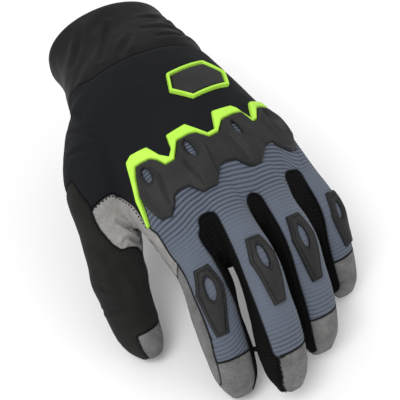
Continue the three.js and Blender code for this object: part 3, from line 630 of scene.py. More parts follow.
# A stray scrap goes to the panel that it touches
def tidyScraps(triangles, label):
    for number in range(1, len(panelNames)):
        rows = np.flatnonzero(label == number)
        if len(rows) > 0:
            label[rows[~largestPart(triangles[rows])]] = -1
    while (label < 0).any():
        owner = np.full(triangles.max() + 1, -1)
        for k in range(3):
            owner[triangles[label >= 0, k]] = label[label >= 0]
        rows = np.flatnonzero(label < 0)
        label[rows] = owner[triangles[rows]].max(1)
        if (label[rows] < 0).all():
            # scraps that touch no panel at all go to the palm
            label[rows] = panelNames.index("palm")
    return label


skinLabels = tidyScraps(skinTriangles, skinLabels)


# Waves that give cloth its small unevenness
noiseSeed = np.random.default_rng(7)
noiseWaves = [(unit(noiseSeed.normal(size=3)), noiseSeed.uniform(0, 2 * np.pi)) for _ in range(14)]


def unevenness(points, span):
    total = np.zeros(len(points))
    for k, (direction, phase) in enumerate(noiseWaves):
        total += np.sin(points @ direction * 2 * np.pi / (span * (0.7 + 0.06 * k)) + phase)
    return total / len(noiseWaves) ** 0.5


def runAlong(place):
    # how far along the glove each point is, following each finger past its knuckle
    run = -place["points"][:, 1]
    total, weights = np.zeros(len(run)), np.full(len(run), 1e-9)
    for name in fingers:
        share, side, back = place[name]
        half = halfWidth(name, share)
        weight = np.exp(-1.2 * ((side / half) ** 2 + (back / half) ** 2))
        knuckle = fingers[name]["knuckle"][1] * hand["reach"]
        blend = smoothStep(share, 0, 0.3)
        total += weight * ((1 - blend) * run + blend * (knuckle + share * fingers[name]["length"]))
        weights += weight
    return (total + 1e-9 * run) / weights


# Creases of the cloth: depth, width, and the places that each runs through
creases = {
    "cuff": [
        (1.0, 1.8, [(-16.1, -8.8, 19.8), (-20.1, -14.5, 17.7), (-23.6, -19.4, 16.2),
                    (-27.7, -24.3, 13.9)]),
        (1.1, 1.6, [(-3.8, -14.2, 22.3), (-9.9, -23.2, 21.8), (-14, -29.2, 21.3), (-18.7, -35.6, 20.2)]),
        (0.9, 1.8, [(0.6, -29.3, 23), (-4.3, -33.6, 22.8), (-9.7, -38.8, 22.3)]),
        (0.9, 1.3, [(12, -16.7, 21), (21.7, -16.1, 18), (28.9, -13.1, 12.4), (33, -10, 4)]),
        (0.9, 1.3, [(8, -26.3, 22.2), (18.5, -26.2, 19.9), (25.7, -25.3, 16.1), (33, -23, 6)]),
        (0.9, 1.3, [(12, -34.5, 21.6), (19.8, -34, 19.5), (25.5, -33.7, 16.6), (34, -32, 5)]),
    ],
    "back_upper": [
        (0.6, 1.6, [(-41, -47.5, 2), (-38.9, -49.2, 6.9), (-37.8, -58.2, 9.5), (-33, -66, 13)]),
        (0.7, 1.6, [(-45.9, -53.6, -0.9), (-44.4, -60.5, 5.1), (-43.3, -67.6, 8.3), (-40, -74, 11)]),
        (0.7, 1.8, [(-52.1, -69.9, 0.8), (-49.6, -71.7, 4.1), (-47.1, -75.3, 6.5), (-44, -80, 8)]),
    ],
    "thumb_web": [
        (2.2, 1.2, [(-48.6, -110.1, -6), (-46.7, -111.6, -8.1), (-44.4, -112.6, -10.4),
                    (-40.1, -111.4, -14)]),
        (1.8, 1.0, [(-51.2, -118.1, -12.3), (-49.3, -116.3, -11.3), (-47.2, -116, -12.1),
                    (-44.7, -116.6, -14.3), (-41.8, -116.3, -17.5)]),
    ],
    "thumb_back": [
        (0.6, 2.2, [(-59.1, -111, -10.9), (-58.5, -120.6, -16), (-58.3, -126.8, -23.1),
                    (-58.5, -132.1, -29.7)]),
        (0.7, 1.5, [(-65.5, -119, -29), (-64.5, -121.2, -27.4), (-61.5, -126.8, -26.6),
                    (-55.3, -130, -25.7)]),
        (0.9, 1.1, [(-66.5, -123, -43), (-65.8, -125.4, -41.1), (-62.5, -131.4, -34.9),
                    (-56.9, -134.4, -31.7)]),
    ],
    "gusset_index_middle": [
        (1.3, 1.0, [(-18.5, -138, 5), (-18.8, -140.6, 3.9), (-19.3, -146.4, 1.2), (-19.8, -152.1, -1)]),
    ],
    "back_lower": [
        (0.4, 1.2, [(-36.9, -165.2, -31.2), (-34.3, -168.9, -31.4), (-29.5, -170.7, -31.2)]),
        (0.35, 1.1, [(-36.4, -168.4, -34.1), (-33.4, -171.5, -33.9), (-29, -172.4, -33.1)]),
    ],
}


def creaseLift(name, points):
    total = np.zeros(len(points))
    for depth, width, stops in creases.get(name, []):
        stops = np.array(stops, float)
        run = np.r_[0, np.cumsum(np.linalg.norm(np.diff(stops, axis=0), axis=1))]
        fine = np.linspace(0, run[-1], max(8, int(run[-1] / 0.6)))
        line = np.stack([rowsAt(np.c_[run, stops], k, fine) for k in (1, 2, 3)], -1)
        reach = 4 * width
        near = np.flatnonzero(((points > line.min(0) - reach) & (points < line.max(0) + reach)).all(1))
        if len(near) == 0:
            continue
        far = np.linalg.norm(points[near][:, None] - line[None], axis=2)
        off, spot = far.min(1), far.argmin(1)
        ends = np.sin(np.pi * (0.06 + 0.88 * spot / (len(line) - 1))) ** 0.6
        total[near] += depth * ends * (0.55 * np.exp(-(((off - 1.7 * width) / width) ** 2))
                                       - np.exp(-((off / width) ** 2)))
    return total


# Seams lie where two panels meet
def edgePairs(triangles, label):
    ends = triangleEnds(triangles)
    owner = np.tile(label, 3)
    key = np.sort(ends, axis=1)
    order = np.lexsort((owner, key[:, 1], key[:, 0]))
    key, owner = key[order], owner[order]
    same = (key[1:] == key[:-1]).all(1)
    rows = np.flatnonzero(same & (owner[1:] != owner[:-1]))
    return key[rows], owner[rows], owner[rows + 1]


seamEnds, seamA, seamB = edgePairs(skinTriangles, skinLabels)


def nearestTo(source, points):
    tree = KDTree(len(source))
    for i, p in enumerate(source):
        tree.insert(p, i)
    tree.balance()
    return np.array([tree.find(p)[2] for p in points])


isSeam = (seamA > 0) | (seamB > 0)
seamPoints = skinPoints[np.unique(seamEnds[isSeam])]
seamAway = nearestTo(seamPoints, skinPoints)
skinRun = runAlong(skinPlace)
print("seams found", len(seamEnds))


def rimEdges(triangles):
    ends = triangleEnds(triangles)
    _, back, counts = uniqueEdges(ends)
    return ends[counts[back] == 1]


def shell(name, top, bottom, triangles, layers):
    # closed wall between two copies of the same triangles
    used = np.unique(triangles)
    spot = np.full(triangles.max() + 1, -1)
    spot[used] = np.arange(len(used))
    tris = spot[triangles]
    rim = rimEdges(tris)
    count = len(used)
    faces = np.vstack([tris, tris[:, ::-1] + count])
    quads = np.stack([rim[:, 1], rim[:, 0], rim[:, 0] + count, rim[:, 1] + count], 1)
    points = np.vstack([top[used], bottom[used]]) * 0.001
    mesh = bpy.data.meshes.new(name)
    loops = np.r_[faces.ravel(), quads.ravel()]
    starts = np.r_[np.arange(len(faces)) * 3, len(faces) * 3 + np.arange(len(quads)) * 4]
    mesh.vertices.add(len(points))
    mesh.vertices.foreach_set("co", points.ravel())
    mesh.loops.add(len(loops))
    mesh.loops.foreach_set("vertex_index", loops)
    mesh.polygons.add(len(starts))
    mesh.polygons.foreach_set("loop_start", starts)
    mesh.update(calc_edges=True)
    mesh.validate()
    mesh.polygons.foreach_set("use_smooth", np.ones(len(mesh.polygons), bool))
    for layer, values in layers.items():
        both = np.r_[values[used], values[used]]
        if layer == "clothUv":
            uv = mesh.uv_layers.new(name="clothUv")
            index = np.empty(len(mesh.loops), np.int32)
            mesh.loops.foreach_get("vertex_index", index)
            uv.data.foreach_set("uv", both[index].ravel())
        else:
            mesh.attributes.new(layer, "FLOAT", "POINT").data.foreach_set("value", both)
    made = bpy.data.objects.new(name, mesh)
    bpy.context.scene.collection.objects.link(made)
    return made


def finer(points, triangles, *fields):
    # every triangle in four, with the fields carried over
    pairs, back, _ = uniqueEdges(triangleEnds(triangles))
    back = back.reshape(3, -1) + len(points)
    grown = [np.concatenate([values, (values[pairs[:, 0]] + values[pairs[:, 1]]) / 2])
             for values in (points, *fields)]
    ab, bc, ca = back
    a, b, c = triangles.T
    tris = np.vstack([np.stack(t, 1) for t in ((a, ab, ca), (ab, b, bc), (ca, bc, c), (ab, bc, ca))])
    return (grown[0], tris, *grown[1:])


def rounder(points, triangles, passes):
    # smooths a refined patch and holds its rim
    held = np.zeros(len(points), bool)
    held[np.unique(rimEdges(triangles))] = True
    pairs = uniqueEdges(triangleEnds(triangles))[0]
    a, b = np.r_[pairs[:, 0], pairs[:, 1]], np.r_[pairs[:, 1], pairs[:, 0]]
    count = np.bincount(a, minlength=len(points))
    held |= count == 0
    for _ in range(passes):
        mean = np.stack([np.bincount(a, points[b, k], len(points)) for k in range(3)], -1)
        mean /= np.maximum(count, 1)[:, None]
        points = np.where(held[:, None], points, points * 0.5 + mean * 0.5)
    return points


# Materials
ribPitch = 1.7


def linear(hexColour):
    value = [int(hexColour[i:i + 2], 16) / 255 for i in (1, 3, 5)]
    return [v / 12.92 if v <= 0.04045 else ((v + 0.055) / 1.055) ** 2.4 for v in value] + [1]


def newMaterial(name):
    material = bpy.data.materials.new(name)
    material.use_nodes = True
    tree = material.node_tree
    shader = next(n for n in tree.nodes if n.type == "BSDF_PRINCIPLED")
    return material, tree, shader


def addNode(tree, kind, settings=None, values=None, links=None):
    # settings are the node's own choices, values its sockets, links the outputs that feed its sockets
    node = tree.nodes.new("ShaderNode" + kind)
    for key, value in (settings or {}).items():
        setattr(node, key, value)
    for key, value in (values or {}).items():
        node.inputs[key].default_value = value
    for key, output in (links or {}).items():
        tree.links.new(output, node.inputs[key])
    return node


def ramp(tree, fac, stops):
    node = addNode(tree, "ValToRGB", links={"Fac": fac})
    ramp = node.color_ramp
    ramp.elements[0].position, ramp.elements[0].color = stops[0][0], linear(stops[0][1])
    ramp.elements[1].position, ramp.elements[1].color = stops[-1][0], linear(stops[-1][1])
    for position, colour in stops[1:-1]:
        ramp.elements.new(position).color = linear(colour)
    return node.outputs["Color"]


def ribbedKnit(name, colours, pitch, depth, seamShadeColour, speckle, sheen, gloss):
    # polyester rib knit: rounded ribs across the hand with painted shade in their grooves, and a soft yarn
    # surface
    material, tree, shader = newMaterial(name)
    place = addNode(tree, "TexCoord").outputs["Object"]
    uv = addNode(tree, "UVMap", {"uv_map": "clothUv"}).outputs["UV"]
    parts = addNode(tree, "SeparateXYZ", links={"Vector": uv})
    phase = addNode(tree, "Math", {"operation": "MULTIPLY"}, {1: 2 * math.pi * 100 / pitch},
                    {0: parts.outputs["Y"]}).outputs[0]
    wave = addNode(tree, "Math", {"operation": "SINE"}, links={0: phase}).outputs[0]
    level = addNode(tree, "MapRange", values={"From Min": -1.0, "From Max": 1.0}, links={"Value": wave})
    # yarn loops of about 0.6 mm
    loops = addNode(tree, "TexNoise", values={"Scale": 1600, "Detail": 2, "Roughness": 0.6},
                    links={"Vector": place}).outputs["Fac"]
    patches = addNode(tree, "TexNoise", values={"Scale": 90, "Detail": 3, "Roughness": 0.6},
                      links={"Vector": place}).outputs["Fac"]
    soft = addNode(tree, "Attribute", {"attribute_name": "worn"}).outputs["Fac"]
    # the rib level darkens the colour in the rib grooves: painted shade, on top of the yarn speckle
    ribShadeAndSpeckle = addNode(tree, "Math", {"operation": "MULTIPLY_ADD"}, {1: speckle},
                    {0: loops, 2: level.outputs["Result"]}).outputs[0]
    tone = addNode(tree, "Math", {"operation": "MULTIPLY_ADD", "use_clamp": True}, {1: 0.35},
                   {0: patches, 2: ribShadeAndSpeckle}).outputs[0]
    shifted = addNode(tree, "Math", {"operation": "SUBTRACT", "use_clamp": True}, {1: 0.5 * speckle + 0.17},
                      {0: tone}).outputs[0]
    flattened = addNode(tree, "Mix", {"data_type": "FLOAT"}, {3: 0.62}, {0: soft, 2: shifted}).outputs[0]
    # the ramp's dark end stands for the painted shade in the rib grooves
    colour = ramp(tree, flattened, colours)
    # painted shade: the colour darkens to the given seam colour near a seam, at the bottom of the seam's
    # groove
    seam = addNode(tree, "Attribute", {"attribute_name": "seam"}).outputs["Fac"]
    seamShadeMix = addNode(tree, "MapRange", values={"From Min": 0.25, "From Max": 0.9, "To Min": 0.0},
                       links={"Value": seam}).outputs["Result"]
    shaded = addNode(tree, "Mix", {"data_type": "RGBA", "blend_type": "MIX"}, {6: linear(seamShadeColour)},
                     {0: seamShadeMix, 7: colour}).outputs[2]
    tree.links.new(shaded, shader.inputs["Base Color"])
    height = addNode(tree, "Math", {"operation": "MULTIPLY_ADD"}, {1: 0.35},
                     {0: loops, 2: level.outputs["Result"]}).outputs[0]
    bump = addNode(tree, "Bump", values={"Strength": 0.9, "Distance": depth}, links={"Height": height})
    tree.links.new(bump.outputs["Normal"], shader.inputs["Normal"])
    shader.inputs["Roughness"].default_value = 0.88
    shader.inputs["Sheen Weight"].default_value = sheen
    shader.inputs["Sheen Roughness"].default_value = 0.5
    shader.inputs["Specular IOR Level"].default_value = gloss
    return material


def suede(name, dark, light, seamShadeColour, sheen):
    # synthetic suede: short brushed nap in soft patches, fine grain, no gloss
    material, tree, shader = newMaterial(name)
    place = addNode(tree, "TexCoord").outputs["Object"]
    nap = addNode(tree, "TexNoise", values={"Scale": 1100, "Detail": 3, "Roughness": 0.7},
                  links={"Vector": place}).outputs["Fac"]
    brushed = addNode(tree, "TexNoise", values={"Scale": 130, "Detail": 4, "Roughness": 0.62},
                      links={"Vector": place}).outputs["Fac"]
    both = addNode(tree, "Mix", {"data_type": "FLOAT"}, {0: 0.55}, {2: nap, 3: brushed}).outputs[0]
    colour = ramp(tree, both, [(0.3, dark), (0.7, light)])
    # painted shade: the colour darkens to the given seam colour near a seam, at the bottom of the seam's
    # groove
    seam = addNode(tree, "Attribute", {"attribute_name": "seam"}).outputs["Fac"]
    seamShadeMix = addNode(tree, "MapRange", values={"From Min": 0.2, "From Max": 0.8, "To Min": 0.0},
                       links={"Value": seam}).outputs["Result"]
    shaded = addNode(tree, "Mix", {"data_type": "RGBA"}, {6: linear(seamShadeColour)},
                     {0: seamShadeMix, 7: colour}).outputs[2]
    tree.links.new(shaded, shader.inputs["Base Color"])
    bump = addNode(tree, "Bump", values={"Strength": 0.5, "Distance": 0.0003}, links={"Height": nap})
    tree.links.new(bump.outputs["Normal"], shader.inputs["Normal"])
    shader.inputs["Roughness"].default_value = 0.95
    shader.inputs["Sheen Weight"].default_value = sheen
    shader.inputs["Sheen Roughness"].default_value = 0.6
    shader.inputs["Specular IOR Level"].default_value = 0.08
    return material


def stretchCloth(name, colour, high, scale, distance, roughness):
    # elastane jersey: close smooth weave with a faint shine along its folds
    material, tree, shader = newMaterial(name)
    place = addNode(tree, "TexCoord").outputs["Object"]
    weave = addNode(tree, "TexVoronoi", {"feature": "F1"}, {"Scale": scale, "Randomness": 0.4},
                    {"Vector": place}).outputs["Distance"]
    patches = addNode(tree, "TexNoise", values={"Scale": 60, "Detail": 3, "Roughness": 0.55},
                      links={"Vector": place}).outputs["Fac"]
    tree.links.new(ramp(tree, patches, [(0.35, colour), (0.7, high)]), shader.inputs["Base Color"])
    bump = addNode(tree, "Bump", values={"Strength": 0.5, "Distance": distance}, links={"Height": weave})
    tree.links.new(bump.outputs["Normal"], shader.inputs["Normal"])
    shader.inputs["Roughness"].default_value = roughness
    shader.inputs["Sheen Weight"].default_value = 0.02
    shader.inputs["Specular IOR Level"].default_value = 0.12
    return material


def mouldedRubber(name, dark, light, roughness):
    # moulded rubber: matte skin with a fine spark-eroded grain, a little paler where it is handled
    material, tree, shader = newMaterial(name)
    place = addNode(tree, "TexCoord").outputs["Object"]
    grain = addNode(tree, "TexNoise", values={"Scale": 2200, "Detail": 2, "Roughness": 0.6},
                    links={"Vector": place}).outputs["Fac"]
    cloud = addNode(tree, "TexNoise", values={"Scale": 120, "Detail": 3, "Roughness": 0.6},
                    links={"Vector": place}).outputs["Fac"]
    tree.links.new(ramp(tree, cloud, [(0.3, dark), (0.75, light)]), shader.inputs["Base Color"])
    rough = addNode(tree, "MapRange", values={"To Min": roughness - 0.06, "To Max": roughness + 0.08},
                    links={"Value": cloud}).outputs["Result"]
    tree.links.new(rough, shader.inputs["Roughness"])
    bump = addNode(tree, "Bump", values={"Strength": 0.35, "Distance": 0.0002}, links={"Height": grain})
    tree.links.new(bump.outputs["Normal"], shader.inputs["Normal"])
    shader.inputs["IOR"].default_value = 1.5
    shader.inputs["Specular IOR Level"].default_value = 0.22
    return material


# the single colour after the depth is the painted shade at the bottom of the seams
slateKnit = ribbedKnit("slateRibKnit", [(0.0, "#333a45"), (0.3, "#4b525e"), (1.0, "#676e7b")],
                       ribPitch, 0.0002, "#14161a", 0.3, 0.08, 0.2)
blackKnit = ribbedKnit("blackRibKnit", [(0.0, "#101114"), (0.5, "#17181b"), (1.0, "#1d1e22")],
                       1.3, 0.00008, "#060607", 0.3, 0.02, 0.08)
sideMesh = ribbedKnit("blackSideMesh", [(0.0, "#060607"), (0.5, "#0c0c0d"), (1.0, "#131314")],
                      1.5, 0.00012, "#040405", 0.3, 0.0, 0.06)
# the third colour is the painted shade at the bottom of the seams
greySuede = suede("greySuede", "#4b4a4a", "#797877", "#1a1918", 0.08)
lightSuede = suede("lightSuede", "#6f6d6b", "#9a9896", "#1a1918", 0.08)
blackSuede = suede("blackSuede", "#161616", "#232321", "#060606", 0.03)
cuffCloth = stretchCloth("blackStretchCloth", "#101011", "#18181a", 1900, 0.0001, 0.62)
darkRubber = mouldedRubber("darkMouldedRubber", "#1f1f20", "#29292a", 0.6)
neonRubber = mouldedRubber("neonRubber", "#a9dd45", "#b8ec52", 0.5)
threadBlack = stretchCloth("blackThread", "#08080a", "#101012", 3000, 0.0001, 0.7)
print("materials made")

# Cloth and suede panels
panelLooks = {
    "cuff": (cuffCloth, "stretch_cuff", 0.35), "back_upper": (blackKnit, "black_knit", 0.5),
    "back_lower": (slateKnit, "slate_knit", 0.5), "palm": (greySuede, "grey_suede", 0.55),
    "thumb_web": (lightSuede, "light_suede", 0.6), "thumb_back": (blackSuede, "black_suede", 0.6),
    "thumb_tip": (greySuede, "grey_suede", 0.5),
    "gusset_index_middle": (sideMesh, "side_mesh", 0.7), "gusset_middle_ring": (sideMesh, "side_mesh", 0.7),
    "gusset_ring_little": (sideMesh, "side_mesh", 0.7),
    **{f"fingertip_{name}": (greySuede, "grey_suede", 0.55) for name in fingers},
}


def clothUv(points, run):
    # across and along the glove, in tenths of a metre
    return np.stack([points[:, 0] / 100, run / 100], -1)


def panelHeight(name, points, away, run, dip, worn):
    lift = 0.25 * unevenness(points, 26) + 0.08 * unevenness(points, 9)
    lift *= smoothStep(away, 0, 4)
    lift -= dip * np.exp(-((away / 1.1) ** 2))
    if name.startswith("gusset"):
        # the strips between the fingers are sewn in flat
        lift -= hand["stripSink"] * smoothStep(away, 0, 6)
    if name == "back_lower":
        ribs = np.sin(2 * np.pi * run / ribPitch) * (1 - 0.75 * worn)
        lift += hand["ribHeight"] * ribs * smoothStep(away, 0.3, 2)
    return lift + creaseLift(name, points)


def wornKnit(points):
    # the ribs are stretched nearly flat over the middle of the fingers
    place = measure(points)
    worn = np.zeros(len(points))
    for name in fingers:
        share, side, back = place[name]
        over = np.hypot(side, back) < 0.75 * fingers[name]["breadth"]
        low, high = fingers[name]["seam"] - 0.16, fingers[name]["seam"] - 0.04
        flat = smoothStep(share, 0.22, 0.34) * (1 - 0.6 * smoothStep(share, low, high))
        worn = np.where(over, np.maximum(worn, flat), worn)
    patches = 0.5 + 0.5 * unevenness(points, 40)
    return np.clip(worn * 0.85 + 0.25 * patches - 0.1, 0, 1)


clothPieces = {}
for number, name in enumerate(panelNames):
    if name not in panelLooks:
        continue
    material, slotName, dip = panelLooks[name]
    triangles = skinTriangles[skinLabels == number]
    points, normals, away, run = skinPoints, skinNormals, seamAway, skinRun
    if name in ("back_lower", "thumb_web"):
        used = np.unique(triangles)
        spot = np.full(len(points), -1)
        spot[used] = np.arange(len(used))
        points, triangles, normals, away = finer(points[used], spot[triangles], normals[used], away[used])
        normals = unit(normals)
        points = rounder(points, triangles, 3)
        run = runAlong(measure(points))
    if name == "back_lower":
        worn = wornKnit(points)
    else:
        worn = 0.5 * np.clip(0.5 + 0.5 * unevenness(points, 60), 0, 1)
    lift = panelHeight(name, points, away, run, dip, worn)
    layers = {"clothUv": clothUv(points, run), "seam": away, "worn": worn}
    piece = shell(name + "Cloth", points + normals * lift[:, None],
                  points - normals * (hand["wall"] + 0.2), triangles, layers)
    piece.data.materials.append(material)
    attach(piece, "root")
    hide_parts(name)
    clothPieces[name] = piece
print("panels made", sum(len(p.data.polygons) for p in clothPieces.values()), "faces")


# Stitches along the seams
def seamRoutes(first, second):
    # the edges between two panels, chained into lines of points
    wanted = {panelNames.index(first), panelNames.index(second)}
    rows = [i for i in range(len(seamEnds)) if {int(seamA[i]), int(seamB[i])} == wanted]
    joined = {}
    for i in rows:
        a, b = (int(v) for v in seamEnds[i])
        joined.setdefault(a, []).append(b)
        joined.setdefault(b, []).append(a)
    routes, seen = [], set()
    for start in sorted(joined, key=lambda v: len(joined[v])):
        if start in seen:
            continue
        route, here = [start], start
        seen.add(start)
        while True:
            onwards = [v for v in joined[here] if v not in seen]
            if not onwards:
                break
            here = onwards[0]
            seen.add(here)
            route.append(here)
        if len(route) > 8:
            routes.append(np.array(route))
    return routes


def stitchRow(route, pitch, length, radius, rise, offset=0):
    # small lengths of thread along a line on the skin, moved sideways by offset
    points, normals = skinPoints[route], skinNormals[route]
    for _ in range(4):
        points = np.vstack([points[:1], (points[:-2] + 2 * points[1:-1] + points[2:]) / 4, points[-1:]])
    run = np.r_[0, np.cumsum(np.linalg.norm(np.diff(points, axis=0), axis=1))]
    at = np.arange(pitch / 2, run[-1], pitch)
    centre = np.stack([np.interp(at, run, points[:, k]) for k in range(3)], -1)
    up = unit(np.stack([np.interp(at, run, normals[:, k]) for k in range(3)], -1))
    along = unit(np.stack([np.interp(at + 0.4, run, points[:, k]) for k in range(3)], -1)
                 - np.stack([np.interp(at - 0.4, run, points[:, k]) for k in range(3)], -1))
    aside = unit(np.cross(up, along))
    turn = 2 * np.pi * np.arange(6) / 6
    made, faces = [], []
    for c, n, t, s in zip(centre, up, along, aside):
        start = len(made)
        for x, r in ((-0.5, 0.35), (-0.25, 0.9), (0.25, 0.9), (0.5, 0.35)):
            for w in turn:
                made.append(c + n * (rise + radius * r * math.sin(w))
                            + s * (offset + radius * r * math.cos(w)) + t * length * x)
        for ring in range(3):
            for k in range(6):
                a, b = start + ring * 6 + k, start + ring * 6 + (k + 1) % 6
                faces.append((a, b, b + 6, a + 6))
        faces.append(tuple(range(start + 5, start - 1, -1)))
        faces.append(tuple(range(start + 18, start + 24)))
    return made, faces


strips = [name for name in panelNames if name.startswith("gusset")]

# Stitch rows: the panels that meet, pitch, length, radius, rise, offset
stitchRows = [
    *[("back_lower", f"fingertip_{name}", 1.15, 1.0, 0.28, -0.15, 0) for name in fingers],
    *[("back_lower", strip, 1.3, 0.85, 0.27, -0.1, 0) for strip in strips],
    *[(f"fingertip_{name}", strip, 1.3, 0.85, 0.27, -0.1, 0) for strip in strips for name in fingers],
    ("thumb_web", "back_upper", 1.9, 0.95, 0.3, 0.05, -0.9),
    ("thumb_web", "back_lower", 1.2, 1.1, 0.25, -0.2, 0),
    ("thumb_web", "thumb_back", 1.2, 1.1, 0.25, -0.2, 0),
    ("thumb_back", "back_upper", 1.2, 1.1, 0.22, -0.25, 0),
    ("thumb_tip", "thumb_back", 1.2, 1.1, 0.22, -0.15, 0),
    ("palm", "back_lower", 1.2, 1.1, 0.22, -0.25, 0),
    ("cuff", "back_upper", 1.2, 1.15, 0.3, -0.35, 0),
]
stitchPoints, stitchFaces = [], []
for first, second, *settings in stitchRows:
    for route in seamRoutes(first, second):
        made, faces = stitchRow(route, *settings)
        stitchFaces += [tuple(i + len(stitchPoints) for i in face) for face in faces]
        stitchPoints += made
stitches = addMesh("seamThread", stitchPoints, stitchFaces)
stitches.data.polygons.foreach_set("use_smooth", np.ones(len(stitches.data.polygons), bool))
stitches.data.materials.append(threadBlack)
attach(stitches, "root")
print("stitches made", len(stitchFaces), "faces")


# Raised rubber on the skin
def patch(cover, levels=2, margin=0.8):
    # fine part of the bare skin where a field is above minus the margin, refined levels times
    field = cover(skinPlace)
    rows = (field[skinTriangles] > -margin).any(1)
    triangles = skinTriangles[rows]
    used = np.unique(triangles)
    spot = np.full(len(skinPoints), -1)
    spot[used] = np.arange(len(used))
    points, tris, normals = skinPoints[used], spot[triangles], skinNormals[used]
    for _ in range(levels):
        points, tris, normals = finer(points, tris, normals)
        points = rounder(points, tris, 2)
    return points, tris, unit(normals)


def raised(name, cover, height, material, nodes):
    # rubber piece whose outline is the field's zero line and whose top stands up by height
    points, tris, normals = patch(cover)
    field = cover(measure(points))
    count = len(points)
    points, tris, _, value, normals = splitAlong(points, tris, field, np.zeros(count, bool),
                                                 np.ones(len(tris), bool), normals)
    tris = tris[value[tris].sum(1) > 0]
    tris = tris[largestPart(tris)]
    place = measure(points)
    lift = height(place, np.maximum(cover(place), 0))
    piece = shell(name, points + normals * lift[:, None], points - normals * 0.5, tris, {})
    piece.data.materials.append(material)
    only(piece)
    bpy.ops.object.shade_smooth_by_angle(angle=math.radians(20))
    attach(piece, "root")
    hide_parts(*nodes)
    return piece


trim = {"rise": 1.5, "round": 0.9}
trimShape = planPoints("trimOuter") + planPoints("trimInner")[::-1]
trimFloor = -0.3 * hand["depth"]


def trimField(place):
    return np.minimum(inside(trimShape, place["points"][:, :2]), place["points"][:, 2] - trimFloor)


def trimHeight(place, depth):
    t = np.clip(depth / trim["round"], 0, 1)
    return 0.35 + trim["rise"] * np.sqrt(np.maximum(1 - (1 - t) ** 2, 0))


zigzag = raised("zigzagTrim", trimField, trimHeight, neonRubber, ["zigzag_trim"])
print("trim made")


def coffin(length, breadth):
    corners = [(-0.28, 0), (0.28, 0), (0.5, 0.3), (0.24, 1), (-0.24, 1), (-0.5, 0.3)]
    return [(x * breadth, (y - 0.5) * length) for x, y in corners]


def slitShape(length, breadth):
    return rounded([(0, -0.5 * length), (0.5 * breadth, -0.25 * length), (0.5 * breadth, 0.25 * length),
                    (0, 0.5 * length), (-0.5 * breadth, 0.25 * length), (-0.5 * breadth, -0.25 * length)])


# Knuckle protector. Lobe rows: across, along, length, breadth, slit's place, slit's length
protector = {
    "base": 1.9, "lobe": 2.0, "slope": 1.0, "edge": 1.6, "slit": 2.6,
    "lobes": [(-0.325, 1.035, 0.19, 0.1, 0.965, 0.07), (-0.112, 1.03, 0.21, 0.14, 0.965, 0.085),
              (0.14, 1.005, 0.2, 0.13, 0.945, 0.07), (0.345, 0.945, 0.19, 0.11, 0.89, 0.06)],
}
protectorShape = planPoints("protectorFoot") + planPoints("trimInner")[2:][::-1]


def slitDistance(place):
    # distance outwards from the nearest slit
    best = np.full(len(place["points"]), 1e9)
    for across, _, _, _, slit, slitLength in protector["lobes"]:
        local = place["points"][:, :2] - [across * hand["breadth"], -slit * hand["reach"]]
        best = np.minimum(best, -inside(slitShape(slitLength * hand["reach"], protector["slit"]), local))
    return best


def protectorField(place):
    return np.minimum.reduce([inside(protectorShape, place["points"][:, :2]) - 0.25, slitDistance(place),
                              place["points"][:, 2] - trimFloor])


def protectorHeight(place, depth):
    height = np.full(len(depth), float(protector["base"]))
    for across, along, length, breadth, _, _ in protector["lobes"]:
        local = (place["points"][:, :2] - [across * hand["breadth"], -along * hand["reach"]]) * [1, -1]
        deep = inside(coffin(length * hand["reach"], breadth * hand["breadth"]), local)
        step = np.clip(deep * protector["slope"], 0, protector["lobe"])
        # the toe of each lobe falls away as one flat facet
        toe = np.clip((0.5 * length * hand["reach"] - local[:, 1]) / (0.3 * length * hand["reach"]), 0, 1)
        height = np.maximum(height, protector["base"] + np.minimum(step, 0.2 + protector["lobe"] * toe))
    outline = inside(protectorShape, place["points"][:, :2])
    height = np.minimum(height, 0.5 + outline * protector["edge"])
    return np.minimum(height, 1.2 + slitDistance(place) * 1.1)


knuckles = raised("knuckleGuard", protectorField, protectorHeight, darkRubber,
                  ["knuckle_protector"])
print("protector made")

# Finger guards: a chamfered rim, a groove and a ridged lid with an oval window
guard = {"rim": 1.6, "rimWidth": 1.3, "groove": 1.3, "lid": 2.5, "window": 0.29}


def guardPlace(place, name):
    finger = fingers[name]
    low, high, shift = finger["guard"]
    share, side, back = place[name]
    onwards = (share - (low + high) / 2) * finger["length"]
    return np.stack([side - shift, onwards], -1), (high - low) * finger["length"]


def guardField(name):
    def field(place):
        local, length = guardPlace(place, name)
        body = inside(coffin(length, 0.52 * fingers[name]["breadth"]), local)
        return np.minimum.reduce([body, windowDistance(place, name), place[name][2]])
    return field


def windowDistance(place, name):
    local, length = guardPlace(place, name)
    shape = slitShape(guard["window"] * length, 0.29 * 0.52 * fingers[name]["breadth"])
    return -inside(shape, local + [0, 0.21 * length])


def guardHeight(name):
    def height(place, depth):
        local, length = guardPlace(place, name)
        body = inside(coffin(length, 0.52 * fingers[name]["breadth"]), local)
        rim = np.minimum(0.5 + 1.6 * body, guard["rim"])
        lid = np.minimum(guard["groove"] + (body - guard["rimWidth"]) * 1.2,
                         guard["lid"] - 0.16 * np.abs(local[:, 0]))
        made = np.where(body < guard["rimWidth"], rim, np.maximum(lid, 1.2))
        return np.minimum(made, 1.2 + 1.2 * windowDistance(place, name))
    return height


for name in fingers:
    raised(f"fingerGuard_{name}", guardField(name), guardHeight(name), darkRubber,
           [f"finger_guard_{name}"])
print("finger guards made")

# Plain badge
badge = {"across": 0.14, "along": 0.64, "turn": 12, "length": 34, "breadth": 19, "line": 1.6,
         "pad": 1.3, "lineRise": 1.9}


def badgeShape():
    turn = math.radians(badge["turn"])
    corners = [(-0.5, 0), (-0.32, 0.5), (0.32, 0.5), (0.5, 0), (0.32, -0.5), (-0.32, -0.5)]
    middle = (badge["across"] * hand["breadth"], -badge["along"] * hand["reach"])
    made = []
    for x, y in corners:
        x, y = x * badge["length"], y * badge["breadth"]
        made.append((middle[0] + x * math.cos(turn) - y * math.sin(turn),
                     middle[1] + x * math.sin(turn) + y * math.cos(turn)))
    return made


badgeCorners = badgeShape()


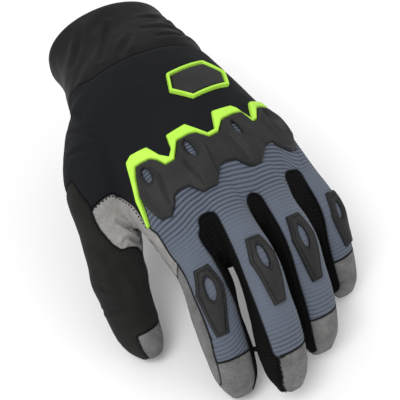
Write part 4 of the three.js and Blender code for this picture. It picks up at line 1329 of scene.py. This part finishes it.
def badgeDepth(place):
    return np.minimum(inside(badgeCorners, place["points"][:, :2]), place["points"][:, 2])


def badgeLineField(place):
    deep = badgeDepth(place)
    return np.minimum(deep, badge["line"] - deep)


def badgeLineHeight(place, depth):
    t = np.clip(depth / 0.6, 0, 1)
    return 0.3 + (badge["lineRise"] - 0.3) * np.sqrt(np.maximum(1 - (1 - t) ** 2, 0))


def badgePadHeight(place, depth):
    return 0.3 + np.minimum(depth * 1.3, badge["pad"] - 0.3)


raised("badgeLine", badgeLineField, badgeLineHeight, neonRubber, ["badge_line"])
raised("badgePad", lambda place: badgeDepth(place) - badge["line"] - 0.2, badgePadHeight, darkRubber,
       ["badge_pad"])
print("badge made")


# Stage
stage = {"floorZ": -0.0665, "floorColour": "#f4f4f5", "worldColour": "#ffffff", "worldStrength": 0.78}

bpy.ops.mesh.primitive_plane_add(size=6, location=(0, 0, stage["floorZ"]))
floor = bpy.context.active_object
floor.name = "floor"
floorMaterial, floorTree, floorShader = newMaterial("paleFloor")
floorShader.inputs["Base Color"].default_value = linear(stage["floorColour"])
floorShader.inputs["Roughness"].default_value = 0.9
floor.data.materials.append(floorMaterial)

world = bpy.data.worlds.new("studio")
bpy.context.scene.world = world
world.use_nodes = True
sky = world.node_tree.nodes["Background"]
sky.inputs["Color"].default_value = linear(stage["worldColour"])
sky.inputs["Strength"].default_value = stage["worldStrength"]
bpy.context.scene.view_settings.view_transform = "Standard"

# Light rows: name, place, aim, size, watts
lights = [
    ("keyLight", (-0.5, -0.35, 0.8), (0, -0.1, 0), 0.45, 5),
    ("fillLight", (0.6, -0.5, 0.6), (0, -0.1, 0), 0.8, 0.8),
    ("backLight", (0.1, 0.7, 0.6), (0, -0.1, 0), 0.7, 1),
]
for name, place, aim, size, watts in lights:
    data = bpy.data.lights.new(name, "AREA")
    data.size, data.energy = size, watts
    lamp = bpy.data.objects.new(name, data)
    lamp.location = place
    lamp.rotation_euler = (Vector(aim) - Vector(place)).to_track_quat("-Z", "Y").to_euler()
    bpy.context.scene.collection.objects.link(lamp)
print("stage made")
